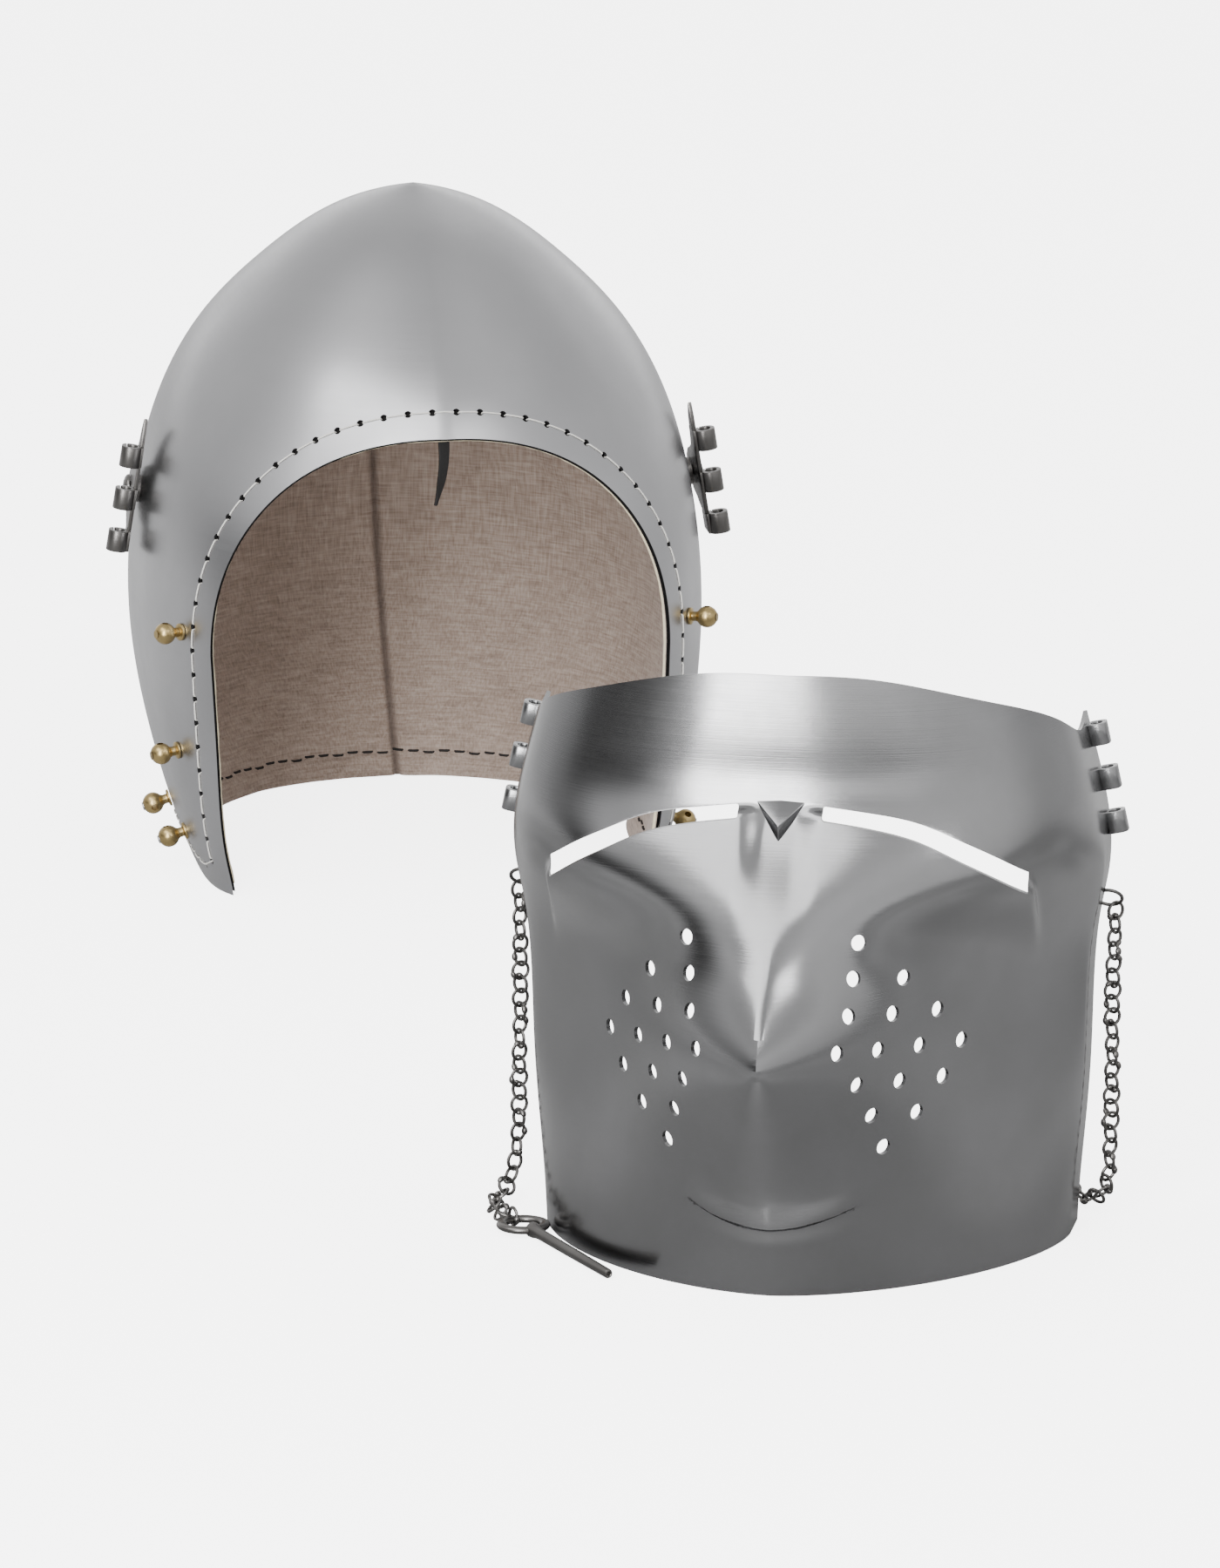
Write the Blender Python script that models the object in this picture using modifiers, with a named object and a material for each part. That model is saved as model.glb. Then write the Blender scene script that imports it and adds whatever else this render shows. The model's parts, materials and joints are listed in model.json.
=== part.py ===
# Bascinet: a steel skull with its padded lining and hinge arms, and the visor
# that has been taken off it and stands in front on its own rim, with the two
# chained hinge pins. Metres, +Z up, the face looks towards -Y.

import math

import bmesh
import bpy
import numpy as np
from mathutils import Matrix, Vector
from mathutils.bvhtree import BVHTree

MM = 0.001

# Clearances, and how far beyond a wall a cutter reaches
GAP = 0.35 * MM
BELOW_FLOOR = 4 * MM
CUTTER_REACH = 6 * MM
HOLE_SIDES = 6

# Skull: one raised steel bowl, open below and in front
SKULL_WIDTH = 224 * MM
SKULL_FRONT = 122 * MM
SKULL_BACK = 126 * MM
SKULL_HEIGHT = 263 * MM
SKULL_WALL = 1.6 * MM
SKULL_COLUMNS = 32
SKULL_ROWS = 12
KEEL_HEIGHT = 1.6 * MM
KEEL_WIDTH = 16 * MM
BACK_SQUARENESS = 2.15
# The front's squareness fades into the back's from this cosine past the side
SQUARENESS_FADE = 0.3

# Heights are shares of the skull's height, widths of half its width, and the
# front and back of their own depths; squareness is the front's plan exponent
SKULL_SECTIONS = (
    # height, width, front, back, squareness
    (-0.02, 0.790, 0.845, 0.668, 5.6),
    (0.06, 0.855, 0.878, 0.765, 4.9),
    (0.16, 0.922, 0.927, 0.873, 3.9),
    (0.34, 0.993, 0.990, 0.984, 2.8),
    (0.48, 0.985, 0.994, 0.986, 2.6),
    (0.61, 0.932, 0.960, 0.935, 2.25),
    (0.69, 0.868, 0.905, 0.865, 2.0),
    (0.78, 0.748, 0.778, 0.742, 1.95),
    (0.87, 0.553, 0.570, 0.545, 1.95),
    (0.95, 0.305, 0.320, 0.305, 2.0),
    (1.00, 0.000, 0.000, 0.000, 2.0),
)

# Face opening, as seen from the front
OPENING_WIDTH = 181 * MM
OPENING_HEIGHT = 187 * MM
OPENING_ARCH = 2.15
OPENING_ARCH_STEPS = 9
OPENING_CHEEK = (
    # height, half width
    (-0.08, 0.885),
    (0.00, 0.900),
    (0.08, 0.935),
    (0.27, 0.975),
    (0.52, 1.000),
)

# Lining: padded cotton inside the skull
LINING_THICKNESS = 4 * MM
LINING_GAP = 0.7 * MM
LINING_PROUD = 1.2 * MM
LINING_LIFT = 1 * MM

# Black lace that hangs inside the brow
LACE_LENGTH = 36 * MM
LACE_HIDDEN = 6 * MM
LACE_WIDTH = 5 * MM
LACE_THICKNESS = 1.2 * MM
LACE_TWIST = math.radians(70)
LACE_SWAY = 2 * MM
LACE_STEPS = 6
# It is full width at this share of its length and narrows both ways
LACE_WIDEST = 0.45
LACE_TAPER = 0.5

# Hinge arms: a plate with three rolled knuckles that turns on a rivet
ARM_HEIGHT = 142 * MM
ARM_ANGLE = math.radians(91)
ARM_THICKNESS = 1.6 * MM
ARM_STANDOFF = 2.6 * MM
ARM_REACH = 19 * MM
KNUCKLE_RADIUS = 4 * MM
KNUCKLE_HEIGHT = 8.2 * MM
KNUCKLE_PITCH = 17.1 * MM
KNUCKLE_SIDES = 10
KNUCKLE_COUNT = 3
# How far a knuckle's middle stands off its plate, as a share of its radius
KNUCKLE_STANDOFF = 0.8
PIN_BORE = 2.4 * MM

# Outline of an arm's plate, as shares of its reach forward and knuckle pitch up
ARM_OUTLINE = (
    # forward, up
    (1.05, -1.24),
    (1.05, 1.50),
    (0.90, 1.87),
    (0.66, 1.55),
    (0.40, 0.72),
    (-0.18, 0.50),
    (-0.45, 0.28),
    (-0.52, 0.00),
    (-0.45, -0.28),
    (-0.18, -0.50),
    (0.40, -0.78),
    (0.66, -1.24),
)

# Pivot rivet of an arm
RIVET_SHANK = 2.3 * MM
RIVET_HEAD = 5 * MM
RIVET_DOME = 2.2 * MM
RIVET_PROFILE = (
    # radius as a share of the head's, height as a share of the dome's
    (0.0, 1.0),
    (0.6, 0.88),
    (1.0, 0.3),
)
WASHER_RADIUS = 5.5 * MM
RIVET_STEPS = 12

# Vervelles: drilled brass studs that carry the mail curtain's cord
STUD_RADIUS = 4.3 * MM
STUD_NECK = 1.9 * MM
STUD_NECK_LENGTH = 2.6 * MM
STUD_FOOT = 3.4 * MM
STUD_FOOT_THICKNESS = 0.9 * MM
STUD_HOLE = 1.3 * MM
STUD_STEPS = 8
# Ball of a stud: angles of its corners above its middle, and its flattened top
STUD_CORNERS = (62, 22, -20, -52)
STUD_TOP = 0.94
CHEEK_STUDS = (
    # height above the rim, angle from the front
    (103 * MM, 54),
    (54 * MM, 56),
)
NECK_STUD_HEIGHT = 15 * MM
NECK_STUD_FIRST = 65
NECK_STUD_INTERVALS = 4

# Visor: its sizes, and the height of its pointed apex as a share of its height
VISOR_HEIGHT = 235 * MM
VISOR_WIDTH = 226 * MM
VISOR_DEPTH = 150 * MM
VISOR_STRAIGHT = 20 * MM
VISOR_WALL = 1.6 * MM
VISOR_COLUMNS = 13
VISOR_ROWS = 13
VISOR_APEX = 0.43

# Heights are shares of the visor's height, widths of half its width and the
# noses of its depth; squareness is the plan exponent, near 1 for a keeled form
VISOR_SECTIONS = (
    # height, width, nose, squareness
    (-0.02, 0.888, 0.692, 1.68),
    (0.06, 0.897, 0.712, 1.60),
    (0.14, 0.912, 0.755, 1.45),
    (0.28, 0.935, 0.885, 1.22),
    (0.43, 0.947, 1.000, 1.12),
    (0.53, 0.970, 0.872, 1.25),
    (0.60, 0.997, 0.780, 1.48),
    (0.66, 1.000, 0.702, 1.85),
    (0.78, 0.957, 0.546, 2.45),
    (0.88, 0.905, 0.515, 2.40),
    (1.00, 0.860, 0.490, 2.30),
)
# Upper edge, as shares of the visor's height from the middle to the hinge
VISOR_CROWN = (
    # place along the edge, height
    (0.00, 1.000),
    (0.30, 0.992),
    (0.55, 0.950),
    (0.80, 0.882),
    (0.93, 0.846),
    (1.00, 0.855),
)

# Eye slots: centre line and height, as shares of half the visor's width and its height
SLOT_LINE = (
    # side, height, opening
    (0.142, 0.783, 4.6 * MM),
    (0.240, 0.777, 4.6 * MM),
    (0.355, 0.768, 5.0 * MM),
    (0.470, 0.753, 5.6 * MM),
    (0.600, 0.723, 6.4 * MM),
    (0.725, 0.686, 7.4 * MM),
    (0.810, 0.652, 8.4 * MM),
)

# Mouth slit: an arc that sags in the middle
MOUTH_HEIGHT = 29 * MM
MOUTH_HALF = 28 * MM
MOUTH_RISE = 5 * MM
MOUTH_OPENING = 1.6 * MM
# Share of the opening that is lost towards its ends
MOUTH_TAPER = 0.5
MOUTH_STEPS = 6

# Breaths: rows of round holes on each flank, lengths from the middle plane
BREATH_RADIUS = 3.1 * MM
BREATH_PITCH = 13.4 * MM
BREATH_SLOPE = 0.19
BREATH_LEVEL = 25 * MM
BREATH_ROWS = (
    # rows above the middle one, first hole, step, number of holes
    (3, 33.0 * MM, 13.8 * MM, 1),
    (2, 31.5 * MM, 17.0 * MM, 2),
    (1, 30.5 * MM, 14.6 * MM, 3),
    (0, 27.1 * MM, 13.4 * MM, 4),
    (-1, 33.4 * MM, 13.9 * MM, 3),
    (-2, 37.8 * MM, 14.8 * MM, 2),
    (-3, 41.3 * MM, 13.8 * MM, 1),
)

# Visor knuckles stand outside its rear upper corners, a little below the edge
VISOR_KNUCKLE_BELOW_EDGE = 3.7 * MM
VISOR_KNUCKLE_STANDOFF = 0.75

# Chains and the hinge pins on their ends
RING_HOLE = 1.75 * MM
RING_HOLE_HEIGHT = 131 * MM
RING_HOLE_INSET = 4 * MM
RING_RADIUS = 5.05 * MM
RING_WIRE = 0.7 * MM
RING_DROOP = Vector((0.45, 0.60, -0.66))
CHAIN_RADIUS = 2.6 * MM
CHAIN_STEP = 8 * MM
EYE_RADIUS = 8.3 * MM
EYE_WIRE = 2.07 * MM
EYE_FLATTENED = 0.72
PIN_RADIUS = 2.2 * MM
PIN_TIP_RADIUS = 1.9 * MM
PIN_LENGTH = 66 * MM
PIN_SIDES = 10
PIN_OFF_FLOOR = 0.1 * MM
RING_STEPS = 16
WIRE_SIDES = 6

# Routes of the chains after they leave the ring, down beside the visor's rear
CHAIN_ROUTES = {
    # outside the visor's half width, behind its widest station, height
    "left": (
        (1.0 * MM, 21 * MM, 90 * MM),
        (1.5 * MM, 21 * MM, 50 * MM),
        (2.0 * MM, 20 * MM, 24 * MM),
        (5.0 * MM, 14 * MM, 7 * MM),
        (8.0 * MM, 2 * MM, 3.0 * MM),
        (5.0 * MM, -10 * MM, 2.9 * MM),
        (-1.0 * MM, -19 * MM, 2.9 * MM),
    ),
    "right": (
        (0.5 * MM, 22 * MM, 90 * MM),
        (0.0 * MM, 24 * MM, 50 * MM),
        (-1.0 * MM, 26 * MM, 24 * MM),
        (-5.0 * MM, 33 * MM, 7 * MM),
        (-14.0 * MM, 43 * MM, 3.0 * MM),
        (-22.0 * MM, 54 * MM, 2.9 * MM),
        (-27.0 * MM, 64 * MM, 2.9 * MM),
    ),
}
PIN_HEADINGS = {"left": math.radians(-56), "right": math.radians(115)}
EYE_HEIGHT = 2.9 * MM

# Where the two standing pieces are
SKULL_PLACE = Vector((-135 * MM, 0, 0))
SKULL_TURN = math.radians(7)
VISOR_PLACE = Vector((18 * MM, -576 * MM, 0))
VISOR_TURN = math.radians(-8)

PARTS = "bascinet"
CUTTERS = "cutters"


def clear_scene():
    for thing in list(bpy.data.objects):
        bpy.data.objects.remove(thing, do_unlink=True)


def collection(name):
    group = bpy.data.collections.get(name)
    if group is None:
        group = bpy.data.collections.new(name)
        bpy.context.scene.collection.children.link(group)
    return group


def material(name, colour, roughness, metallic):
    made = bpy.data.materials.get(name) or bpy.data.materials.new(name)
    made.use_nodes = True
    shader = made.node_tree.nodes["Principled BSDF"]
    shader.inputs["Base Color"].default_value = (*colour, 1.0)
    shader.inputs["Roughness"].default_value = roughness
    shader.inputs["Metallic"].default_value = metallic
    return made


def frame_empty(name, place, turn):
    empty = bpy.data.objects.new(name, None)
    empty.location = place
    empty.rotation_euler = (0, 0, turn)
    collection(PARTS).objects.link(empty)
    return empty


def object_from(name, body, parent, finish=None):
    # A part is linked with its material, a cutter has none and stays hidden
    mesh = bpy.data.meshes.new(name)
    bmesh.ops.recalc_face_normals(body, faces=body.faces)
    body.to_mesh(mesh)
    body.free()
    thing = bpy.data.objects.new(name, mesh)
    thing.parent = parent
    if finish is None:
        collection(CUTTERS).objects.link(thing)
        thing.hide_render = True
        thing.display_type = "WIRE"
    else:
        collection(PARTS).objects.link(thing)
        mesh.materials.append(finish)
    return thing


def cut(thing, cutter, operation="DIFFERENCE"):
    step = thing.modifiers.new(cutter.name, "BOOLEAN")
    step.operation = operation
    step.solver = "EXACT"
    step.object = cutter


def spline(knots, values):
    # Natural cubic spline through one row of values per knot
    knots = np.array(knots, dtype=float)
    values = np.array(values, dtype=float)
    count = len(knots)
    span = np.diff(knots)
    system = np.eye(count)
    right = np.zeros(values.shape)
    for i in range(1, count - 1):
        system[i, i - 1:i + 2] = span[i - 1], 2 * (span[i - 1] + span[i]), span[i]
        right[i] = 6 * ((values[i + 1] - values[i]) / span[i]
                        - (values[i] - values[i - 1]) / span[i - 1])
    bend = np.linalg.solve(system, right)

    def at(place):
        i = min(max(int(np.searchsorted(knots, place)) - 1, 0), count - 2)
        a = (knots[i + 1] - place) / span[i]
        b = 1 - a
        curved = (a ** 3 - a) * bend[i] + (b ** 3 - b) * bend[i + 1]
        return a * values[i] + b * values[i + 1] + curved * span[i] ** 2 / 6

    return at


def profile_spline(rows, tall, wide):
    # Sections spaced by the length of the side profile, from 0 to 1
    points = np.array([(row[0] * tall, row[1] * wide) for row in rows])
    steps = np.linalg.norm(np.diff(points, axis=0), axis=1)
    places = np.concatenate([[0], np.cumsum(steps)]) / steps.sum()
    return spline(places, rows)


def smooth_step(value):
    value = min(max(value, 0.0), 1.0)
    return value * value * (3 - 2 * value)


def skull_point(section, angle):
    # Angle 0 is the face, a quarter turn is the +X side
    height, width, front, back, squareness = section
    wide = max(width, 0) * SKULL_WIDTH / 2
    deep = max(front, 0) * SKULL_FRONT if math.cos(angle) > 0 else max(back, 0) * SKULL_BACK
    if wide * deep == 0:
        return Vector((0, 0, height * SKULL_HEIGHT))
    frontness = smooth_step(math.cos(angle) + SQUARENESS_FADE)
    power = BACK_SQUARENESS + (squareness - BACK_SQUARENESS) * frontness
    reach = ((abs(math.sin(angle)) / wide) ** power
             + (abs(math.cos(angle)) / deep) ** power) ** (-1 / power)
    x = reach * math.sin(angle)
    y = -reach * math.cos(angle)
    if math.cos(angle) > 0:
        y -= KEEL_HEIGHT * math.exp(-abs(x) / KEEL_WIDTH) * smooth_step(deep / SKULL_FRONT * 2)
    return Vector((x, y, height * SKULL_HEIGHT))


def skull_bowl(inset):
    # Open bowl, its rim a little below the floor that the cutter trims it to
    body = bmesh.new()
    section_at = profile_spline(SKULL_SECTIONS, SKULL_HEIGHT, SKULL_WIDTH / 2)
    rings = []
    for row in range(SKULL_ROWS):
        section = section_at(row / SKULL_ROWS)
        ring = [body.verts.new(skull_point(section, 2 * math.pi * column / SKULL_COLUMNS))
                for column in range(SKULL_COLUMNS)]
        rings.append(ring)
    apex = body.verts.new((0, 0, SKULL_HEIGHT))
    for lower, upper in zip(rings, rings[1:]):
        for i in range(SKULL_COLUMNS):
            j = (i + 1) % SKULL_COLUMNS
            body.faces.new((lower[i], lower[j], upper[j], upper[i]))
    for i in range(SKULL_COLUMNS):
        body.faces.new((rings[-1][i], rings[-1][(i + 1) % SKULL_COLUMNS], apex))
    bmesh.ops.recalc_face_normals(body, faces=body.faces)
    if inset:
        body.normal_update()
        for vert in body.verts:
            vert.co -= vert.normal * inset * vert.calc_shell_factor()
    return body


def add_wall(thing, thickness):
    wall = thing.modifiers.new("wall", "SOLIDIFY")
    wall.thickness = thickness
    wall.offset = -1
    wall.use_even_offset = True


def prism(outline, near, far):
    # A closed outline in X and Z, extruded from near to far along Y
    body = bmesh.new()
    ends = []
    for y in (near, far):
        ends.append([body.verts.new((x, y, z)) for x, z in outline])
    count = len(outline)
    body.faces.new(ends[0])
    body.faces.new(ends[1])
    for i in range(count):
        j = (i + 1) % count
        body.faces.new((ends[0][i], ends[0][j], ends[1][j], ends[1][i]))
    return body


def opening_outline(inset):
    half_width = OPENING_WIDTH / 2 - inset
    height = OPENING_HEIGHT - inset
    side = [(share * half_width, level * OPENING_HEIGHT) for level, share in OPENING_CHEEK]
    spring = side[-1][1]
    for step in range(1, OPENING_ARCH_STEPS):
        turn = math.pi / 2 * step / OPENING_ARCH_STEPS
        side.append((half_width * math.cos(turn) ** (2 / OPENING_ARCH),
                     spring + (height - spring) * math.sin(turn) ** (2 / OPENING_ARCH)))
    mirrored = [(-x, z) for x, z in reversed(side)]
    return side + [(0, height)] + mirrored


def floor_block(name, top, parent):
    body = bmesh.new()
    size = 3 * SKULL_WIDTH
    bmesh.ops.create_cube(body, size=size)
    bmesh.ops.translate(body, verts=body.verts, vec=(0, 0, top - size / 2))
    return object_from(name, body, parent)


def make_skull(parent, finish):
    skull = object_from("skull", skull_bowl(0), parent, finish)
    add_wall(skull, SKULL_WALL)
    face = prism(opening_outline(0), -2 * SKULL_FRONT, 0)
    cut(skull, object_from("face_cutter", face, parent))
    cut(skull, floor_block("skull_floor", 0, parent))
    return skull


def make_lining(parent, finish):
    lining = object_from("lining", skull_bowl(SKULL_WALL + LINING_GAP), parent, finish)
    add_wall(lining, LINING_THICKNESS)
    face = prism(opening_outline(LINING_PROUD), -2 * SKULL_FRONT, 0)
    cut(lining, object_from("lining_cutter", face, parent))
    cut(lining, floor_block("lining_floor", LINING_LIFT, parent))
    return lining


def brow_reach(height):
    # How far the steel reaches forward of the apex at a height
    section_at = profile_spline(SKULL_SECTIONS, SKULL_HEIGHT, SKULL_WIDTH / 2)
    low, high = 0.0, 1.0
    for _ in range(30):
        middle = (low + high) / 2
        if section_at(middle)[0] * SKULL_HEIGHT < height:
            low = middle
        else:
            high = middle
    return -skull_point(section_at(low), 0).y


def make_lace(parent, finish):
    # A flat lace that twists as it hangs, its head against the brow's lining
    body = bmesh.new()
    head = OPENING_HEIGHT + LACE_HIDDEN
    rise = 1 * MM
    slope = (brow_reach(head - rise) - brow_reach(head + rise)) / (2 * rise)
    padding = (SKULL_WALL + LINING_GAP + LINING_THICKNESS + GAP) * math.hypot(1, slope)
    front = padding + LACE_THICKNESS / 2 + 3 * GAP - brow_reach(head)
    rings = []
    for step in range(LACE_STEPS + 1):
        share = step / LACE_STEPS
        turn = Matrix.Rotation(LACE_TWIST * share, 3, "Z")
        narrow = 1 - LACE_TAPER * abs(share - LACE_WIDEST)
        centre = Vector((-LACE_SWAY * share, front, head - LACE_LENGTH * share))
        corners = ((-1, -1), (1, -1), (1, 1), (-1, 1))
        rings.append([body.verts.new(centre + turn @ Vector((
            side * LACE_WIDTH / 2 * narrow, face * LACE_THICKNESS / 2, 0)))
            for side, face in corners])
    for upper, lower in zip(rings, rings[1:]):
        for i in range(4):
            j = (i + 1) % 4
            body.faces.new((upper[i], upper[j], lower[j], lower[i]))
    body.faces.new(rings[0])
    body.faces.new(rings[-1])
    return object_from("lining_lace", body, parent, finish)


def seat_on_skull(tree, height, angle):
    # The point of the faceted skull at a height and angle, as a frame whose Z
    # points out of the steel and whose Y runs up it
    far = 2 * SKULL_WIDTH
    out = Vector((math.sin(angle), -math.cos(angle), 0))
    spot, normal, _, _ = tree.ray_cast(out * far + Vector((0, 0, height)), -out)
    if normal.dot(out) < 0:
        normal = -normal
    up = (Vector((0, 0, 1)) - normal * normal.z).normalized()
    seat = Matrix((up.cross(normal), up, normal)).transposed().to_4x4()
    seat.translation = spot
    return seat


def turned(name, profile, steps, parent, finish):
    # A profile of radius and height, top to bottom, turned round Z
    body = bmesh.new()
    corners = [body.verts.new((radius, 0, height)) for radius, height in profile]
    for upper, lower in zip(corners, corners[1:]):
        body.edges.new((upper, lower))
    thing = object_from(name, body, parent, finish)
    screw = thing.modifiers.new("turn", "SCREW")
    screw.steps = steps
    screw.render_steps = steps
    screw.use_merge_vertices = True
    screw.merge_threshold = 0.00001
    return thing


def cylinder(body, radius, tip_radius, length, sides, place):
    made = bmesh.ops.create_cone(body, cap_ends=True, segments=sides, radius1=radius,
                                 radius2=tip_radius, depth=length, matrix=place)
    return made["verts"]


def knuckle_levels():
    middle = (KNUCKLE_COUNT - 1) / 2
    return [(index - middle) * KNUCKLE_PITCH for index in range(KNUCKLE_COUNT)]


def make_arm(side, name, seat, parent, finish):
    # Local X runs along the skull, forwards where side is -1
    forward = -side
    low = ARM_STANDOFF
    high = ARM_STANDOFF + ARM_THICKNESS
    plate = bmesh.new()
    outline = [(forward * reach * ARM_REACH, up * KNUCKLE_PITCH) for reach, up in ARM_OUTLINE]
    ends = [[plate.verts.new((x, y, z)) for x, y in outline] for z in (low, high)]
    plate.faces.new(ends[0])
    plate.faces.new(ends[1])
    for i in range(len(outline)):
        j = (i + 1) % len(outline)
        plate.faces.new((ends[0][i], ends[0][j], ends[1][j], ends[1][i]))
    arm = object_from(name, plate, parent, finish)
    arm.matrix_local = seat

    barrels = bmesh.new()
    bores = bmesh.new()
    upright = Matrix.Rotation(math.pi / 2, 4, "X")
    lift = high + KNUCKLE_RADIUS * KNUCKLE_STANDOFF
    for level in knuckle_levels():
        place = Matrix.Translation((forward * ARM_REACH, level, lift)) @ upright
        cylinder(barrels, KNUCKLE_RADIUS, KNUCKLE_RADIUS, KNUCKLE_HEIGHT, KNUCKLE_SIDES, place)
        cylinder(bores, PIN_BORE, PIN_BORE, KNUCKLE_HEIGHT + CUTTER_REACH, KNUCKLE_SIDES, place)
    hole = Matrix.Translation((0, 0, low))
    cylinder(bores, RIVET_SHANK + GAP, RIVET_SHANK + GAP, CUTTER_REACH, RIVET_STEPS, hole)
    for cutter_name, body, operation in (("_knuckles", barrels, "UNION"),
                                         ("_bores", bores, "DIFFERENCE")):
        cutter = object_from(name + cutter_name, body, parent)
        cutter.matrix_local = seat
        cut(arm, cutter, operation)
    return arm


def make_pivot(name, seat, parent, finish):
    plate_low = ARM_STANDOFF - GAP
    plate_high = ARM_STANDOFF + ARM_THICKNESS + GAP
    profile = [(RIVET_HEAD * out, plate_high + RIVET_DOME * up) for out, up in RIVET_PROFILE]
    profile += [
        (RIVET_HEAD, plate_high),
        (RIVET_SHANK, plate_high),
        (RIVET_SHANK, plate_low),
        (WASHER_RADIUS, plate_low),
        (WASHER_RADIUS, GAP),
        (0, GAP),
    ]
    pivot = turned(name, profile, RIVET_STEPS, parent, finish)
    pivot.matrix_local = seat
    return pivot


def make_stud(name, seat, parent, finish):
    # Foot, neck and ball, drilled through from top to bottom
    under = -math.sin(math.radians(STUD_CORNERS[-1])) * STUD_RADIUS
    centre = GAP + STUD_FOOT_THICKNESS + STUD_NECK_LENGTH + under
    profile = [(0, centre + STUD_RADIUS * STUD_TOP)]
    for degrees in STUD_CORNERS:
        turn = math.radians(degrees)
        profile.append((STUD_RADIUS * math.cos(turn), centre + STUD_RADIUS * math.sin(turn)))
    profile += [
        (STUD_NECK, GAP + STUD_FOOT_THICKNESS),
        (STUD_FOOT, GAP + STUD_FOOT_THICKNESS),
        (STUD_FOOT, GAP),
        (0, GAP),
    ]
    stud = turned(name, profile, STUD_STEPS, parent, finish)
    stud.matrix_local = seat
    drill = bmesh.new()
    upright = Matrix.Translation((0, 0, centre)) @ Matrix.Rotation(math.pi / 2, 4, "X")
    cylinder(drill, STUD_HOLE, STUD_HOLE, 2 * STUD_RADIUS + CUTTER_REACH, HOLE_SIDES, upright)
    cutter = object_from(name + "_hole", drill, parent)
    cutter.matrix_local = seat
    cut(stud, cutter)
    return stud


def stud_places():
    places = []
    for side in (-1, 1):
        places += [(height, side * math.radians(degrees)) for height, degrees in CHEEK_STUDS]
    step = (180 - NECK_STUD_FIRST) / NECK_STUD_INTERVALS
    for index in range(NECK_STUD_INTERVALS):
        turn = math.radians(NECK_STUD_FIRST + step * index)
        places += [(NECK_STUD_HEIGHT, -turn), (NECK_STUD_HEIGHT, turn)]
    places.append((NECK_STUD_HEIGHT, math.pi))
    return places


visor_section = spline([row[0] for row in VISOR_SECTIONS], [row[1:] for row in VISOR_SECTIONS])
visor_crown = spline([row[0] for row in VISOR_CROWN], [row[1:] for row in VISOR_CROWN])


def visor_point(height, place):
    # Place runs from -1 at one rear edge to 1 at the other, 0 is the keel
    width, nose, power = visor_section(height / VISOR_HEIGHT)
    wide = width * VISOR_WIDTH / 2
    deep = nose * VISOR_DEPTH
    bend = VISOR_COLUMNS / (VISOR_COLUMNS + 1)
    side = math.copysign(1, place)
    if abs(place) > bend:
        back = (abs(place) - bend) / (1 - bend) * VISOR_STRAIGHT
        return Vector((side * wide, back, height))
    turn = abs(place) / bend * math.pi / 2
    reach = ((math.sin(turn) / wide) ** power + (math.cos(turn) / deep) ** power) ** (-1 / power)
    return Vector((side * reach * math.sin(turn), -reach * math.cos(turn), height))


def visor_rear(height):
    # Half the visor's width at a height
    return float(visor_section(height / VISOR_HEIGHT)[0]) * VISOR_WIDTH / 2


def visor_at(side, height):
    # The point of the visor at a distance from the middle plane
    low, high = 0.0, VISOR_COLUMNS / (VISOR_COLUMNS + 1)
    for _ in range(30):
        middle = (low + high) / 2
        if visor_point(height, middle).x < abs(side):
            low = middle
        else:
            high = middle
    return visor_point(height, math.copysign(low, side))


def visor_normal(side, height):
    step = 1 * MM
    across = visor_at(abs(side) + step, height) - visor_at(abs(side) - step, height)
    up = visor_at(abs(side), height + step) - visor_at(abs(side), height - step)
    out = across.cross(up).normalized()
    out.x = math.copysign(out.x, side)
    return out


def visor_shell():
    body = bmesh.new()
    total = 2 * (VISOR_COLUMNS + 1)
    grid = []
    for row in range(VISOR_ROWS + 1):
        line = []
        for column in range(total + 1):
            place = column / (total / 2) - 1
            top = float(visor_crown(abs(place))[0]) * VISOR_HEIGHT
            height = -BELOW_FLOOR + (top + BELOW_FLOOR) * row / VISOR_ROWS
            line.append(body.verts.new(visor_point(height, place)))
        grid.append(line)
    for lower, upper in zip(grid, grid[1:]):
        for i in range(total):
            body.faces.new((lower[i], lower[i + 1], upper[i + 1], upper[i]))
    return body


def slot_outline(side):
    upper = []
    lower = []
    for share, level, opening in SLOT_LINE:
        x = side * share * VISOR_WIDTH / 2
        z = level * VISOR_HEIGHT
        upper.append((x, z + opening / 2))
        lower.append((x, z - opening / 2))
    return upper + lower[::-1]


def mouth_outline():
    upper = []
    lower = []
    for step in range(MOUTH_STEPS + 1):
        across = 2 * step / MOUTH_STEPS - 1
        level = MOUTH_HEIGHT + MOUTH_RISE * across ** 2
        opening = MOUTH_OPENING / 2 * (1 - MOUTH_TAPER * across ** 2)
        upper.append((across * MOUTH_HALF, level + opening))
        lower.append((across * MOUTH_HALF, level - opening))
    return upper + lower[::-1]


def breath_cutter(parent):
    body = bmesh.new()
    for row, first, step, count in BREATH_ROWS:
        level = VISOR_APEX * VISOR_HEIGHT + row * BREATH_PITCH
        for index in range(count):
            for side in (-1, 1):
                across = side * (first + step * index)
                height = level - BREATH_SLOPE * (abs(across) - BREATH_LEVEL)
                spot = visor_at(across, height)
                aim = visor_normal(across, height).to_track_quat("Z", "Y").to_matrix().to_4x4()
                place = Matrix.Translation(spot) @ aim
                cylinder(body, BREATH_RADIUS, BREATH_RADIUS, 2 * CUTTER_REACH, HOLE_SIDES, place)
    return object_from("breath_cutter", body, parent)


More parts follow.
